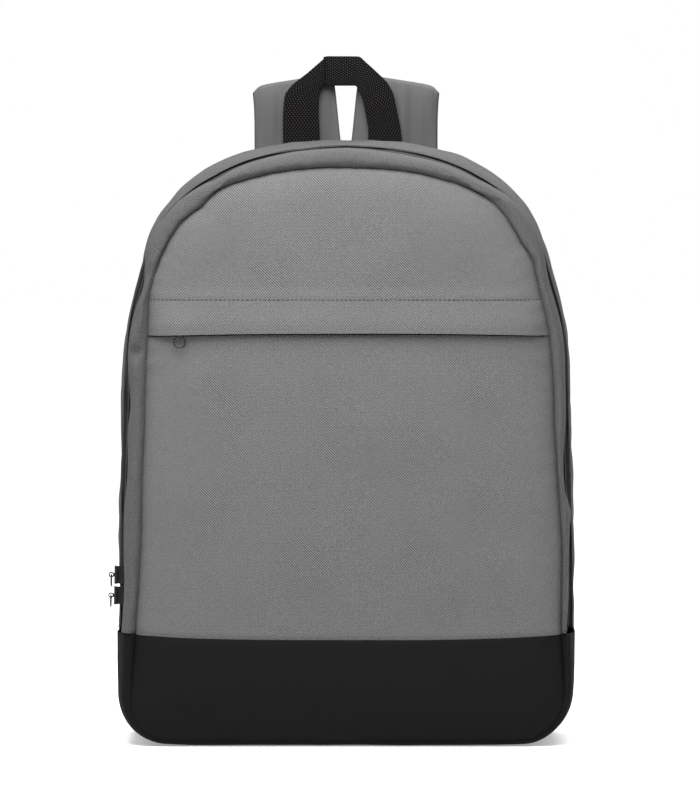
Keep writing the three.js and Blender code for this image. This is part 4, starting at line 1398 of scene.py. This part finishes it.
def build_anchor(name, sign, up):
    """The fabric tab at the back's lower corner, with a box of stitches over the webbing's end."""
    along_tab = np.array((-up.x, 0, -up.z))
    along_tab /= np.linalg.norm(along_tab)
    across = np.array((along_tab[2], 0, -along_tab[0]))
    start = np.array((sign * ANCHOR.x, 0, ANCHOR.z))
    u = np.linspace(-1, 1, 28)[None, :, None]
    v = np.linspace(0, 1, 24)[:, None, None]
    half = mix(14 * MM, 16.5 * MM, v)
    flat = start + along_tab * mix(-3 * MM, 24 * MM, v) + across * (u * half)
    flat[..., 1] = BACK_Y + 2.7 * MM + 0.9 * MM * (1 - np.abs(u[..., 0]) ** 4) * (1 - v[..., 0])
    uv = points_of((u * half)[..., 0], (v * 27 * MM)[..., 0])
    tab = cloth_grid(f"{name}_anchor_tab", flat, uv, STRAP_LOOK, (0, 0, 0), thickness=1.6 * MM)
    place(tab, "pack_body", f"{name}_strap_anchor")
    corners = [(-0.8, 5), (0.8, 5), (0.8, 19), (-0.8, 19), (-0.8, 5), (0.8, 19), (0.8, 5), (-0.8, 19)]
    points = [start + along_tab * (d * MM) + across * (k * 14 * MM) for k, d in corners]
    box = np.array(points)
    box[:, 1] = BACK_Y + 3.35 * MM
    place(stitch_row(f"{name}_anchor_stitching", box, (0, 1, 0)), "pack_body")


# ---- Grab handle ------------------------------------------------------------------------------------------
def build_handle():
    """Webbing whose legs face forward and whose top is folded back at two slanting creases. The stations
    list its outer edge, inner edge and depth, in millimetres, up one leg and down the other."""
    foot = side("grab_handle", LOW, "z") / MM
    stations = [
        ((-41.0, foot - 2.5), (-15.8, foot - 2.5), 0.0),
        ((-41.2, 413), (-16.2, 413), -0.2),
        ((-41.0, 425), (-16.7, 425), -0.8),
        ((-39.6, 436.5), (-16.4, 433.5), -1.4),
        ((-34.0, 443.5), (-15.4, 439.5), -1.6),
        ((-24.5, 450.8), (-14.2, 442.0), -1.4),
        ((-13.2, 460.6), (-13.2, 442.6), -0.6),
        ((-11.4, 462.2), (-11.4, 442.2), 0.7),
        ((-4.0, 462.2), (-4.0, 442.0), 1.0),
        ((4.0, 462.2), (3.6, 442.0), 1.0),
        ((10.8, 462.0), (7.4, 442.0), 0.7),
        ((14.0, 459.6), (8.8, 441.8), -0.6),
        ((22.0, 452.4), (10.4, 439.6), -1.4),
        ((30.0, 444.6), (12.6, 434.5), -1.6),
        ((34.4, 436.5), (14.6, 427.0), -1.4),
        ((36.6, 426), (16.0, 420), -0.8),
        ((39.4, 412), (17.2, 412), -0.2),
        ((40.4, foot - 2.5), (17.0, foot - 2.5), 0.0),
    ]
    middle_x = middle_of("grab_handle", "x")
    y0 = middle_of("grab_handle", "y")
    outer, inner, offset = (np.array(column) * MM for column in zip(*stations))
    offset = offset[:, None]
    knots = np.arange(len(stations))
    wanted = np.linspace(0, len(stations) - 1, 150)
    u = np.linspace(0, 1, 21)
    bow = -0.5 * MM * np.sin(math.pi * u)
    rows = []
    for w in wanted:
        a, b = rounded(knots, outer, w), rounded(knots, inner, w)
        depth = float(catmull(knots, offset, w)[0])
        rows.append(points_of(mix(a[0], b[0], u) + middle_x, y0 + depth + bow, mix(a[1], b[1], u)))
    points = np.stack(rows)
    uv = points_of(WEBBING_WIDTH * u, arc_lengths(points, 0).mean(axis=1)[:, None])
    behind = (0, y0 + 1, 430 * MM)
    handle = cloth_grid("grab_handle_webbing", points, uv, WEBBING_LOOK, behind, thickness=1.5 * MM)
    apply_modifiers(handle)
    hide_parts("grab_handle")
    low = foot * MM + 1.5 * MM
    low + 6 * MM
    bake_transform(handle)


def apply_modifiers(piece):
    """Bakes a piece's modifiers into its mesh."""
    graph = bpy.context.evaluated_depsgraph_get()
    mesh = bpy.data.meshes.new_from_object(piece.evaluated_get(graph))
    piece.modifiers.clear()
    piece.data = mesh


# ---- Studio -----------------------------------------------------------------------------------------------
def build_studio():
    """A pale floor, white surroundings, one broad soft light overhead and a weaker one behind."""
    size = 5.0  # half the floor's side
    corners = [(-size, -size, 0), (size, -size, 0), (size, size, 0), (-size, size, 0)]
    n = Nodes("floor", roughness=0.9)
    n.shade(grey(238), n.noise(0.4) * 0.02 + 0.99)
    n.shader.inputs["Emission Color"].default_value = (1, 1, 1, 1)
    n.shader.inputs["Emission Strength"].default_value = FLOOR_GLOW
    floor = new_object("floor", corners, [(0, 1, 2, 3)], [(x, y) for x, y, _ in corners], n.material)
    world = bpy.data.worlds.new("studio")
    world.use_nodes = True
    tree = world.node_tree
    background = tree.nodes["Background"]
    background.inputs["Color"].default_value = (1, 1, 1, 1)
    direction = tree.nodes.new("ShaderNodeSeparateXYZ")
    tree.links.new(tree.nodes.new("ShaderNodeTexCoord").outputs["Generated"], direction.inputs[0])
    x = Value(tree, direction.outputs["X"])
    sideways = x * x
    dimmed = sideways * (1.0 - math_node(tree, "POWER", sideways, SCREEN_EDGE))
    strength = math_node(tree, "MULTIPLY_ADD", dimmed, SIDE_LIGHT - WORLD_STRENGTH, WORLD_STRENGTH)
    tree.links.new(strength.output, background.inputs["Strength"])
    bpy.context.scene.world = world
    for name, place_at, width, power in LIGHTS:
        light = bpy.data.lights.new(name, "AREA")
        light.shape = "DISK"
        light.size = width
        light.energy = power
        lamp = add_object(name, light)
        lamp.location = place_at
        toward = Vector((0, 0, LIGHT_AIM_Z)) - Vector(place_at)
        lamp.rotation_euler = toward.to_track_quat("-Z", "Y").to_euler()


FLOOR_GLOW = 0.3
WORLD_STRENGTH = 1.0
SIDE_LIGHT = 0.5  # the surroundings are dimmer to the left and right, but for a white screen on each side
SCREEN_EDGE = 12  # the higher, the narrower those screens
LIGHT_AIM_Z = 0.22  # the height on the pack that the lights point at
LIGHTS = (  # name, place, width and watts
    ("overhead", (-0.1, -0.5, 0.9), 0.7, 27),
    ("behind", (0.3, 0.7, 1.1), 0.7, 12),
)
ELEVATION = math.radians(4)
LENS = 400
FRAME_HEIGHT = 544 * MM  # what the picture's height covers at the pack
SENSOR = 36
AIM_X = 2.7 * MM
AIM_HEIGHT = 230.4 * MM  # of the picture's centre, across the line of sight


def build_camera():
    camera = bpy.data.cameras.new("camera")
    camera.lens = LENS
    camera.sensor_width = SENSOR
    camera.clip_end = 50
    camera.dof.use_dof = False
    holder = add_object("camera", camera)
    distance = FRAME_HEIGHT * LENS / SENSOR
    back = Vector((0, -math.cos(ELEVATION), math.sin(ELEVATION)))
    raised = Vector((0, math.sin(ELEVATION), math.cos(ELEVATION)))
    holder.location = Vector((AIM_X, 0, 0)) + raised * AIM_HEIGHT + back * distance
    holder.rotation_mode = "QUATERNION"
    holder.rotation_quaternion = (-back).to_track_quat("-Z", "Y")
    bpy.context.scene.camera = holder


bpy.context.scene.view_settings.view_transform = "Standard"
build_camera()
build_studio()
build_pocket_panel()
build_upper_panel()
build_flap_shadow_strip_and_stitching()
build_base()
build_gussets()
build_seam_shadow_line()
build_back()
build_pocket_lining()
build_bindings()
build_main_zip()
build_pocket_zip()
build_hardware()
for strap_name, strap_sign in (("left", -1), ("right", 1)):
    build_strap(strap_name, strap_sign)
    build_adjuster(strap_name, strap_sign)
build_handle()
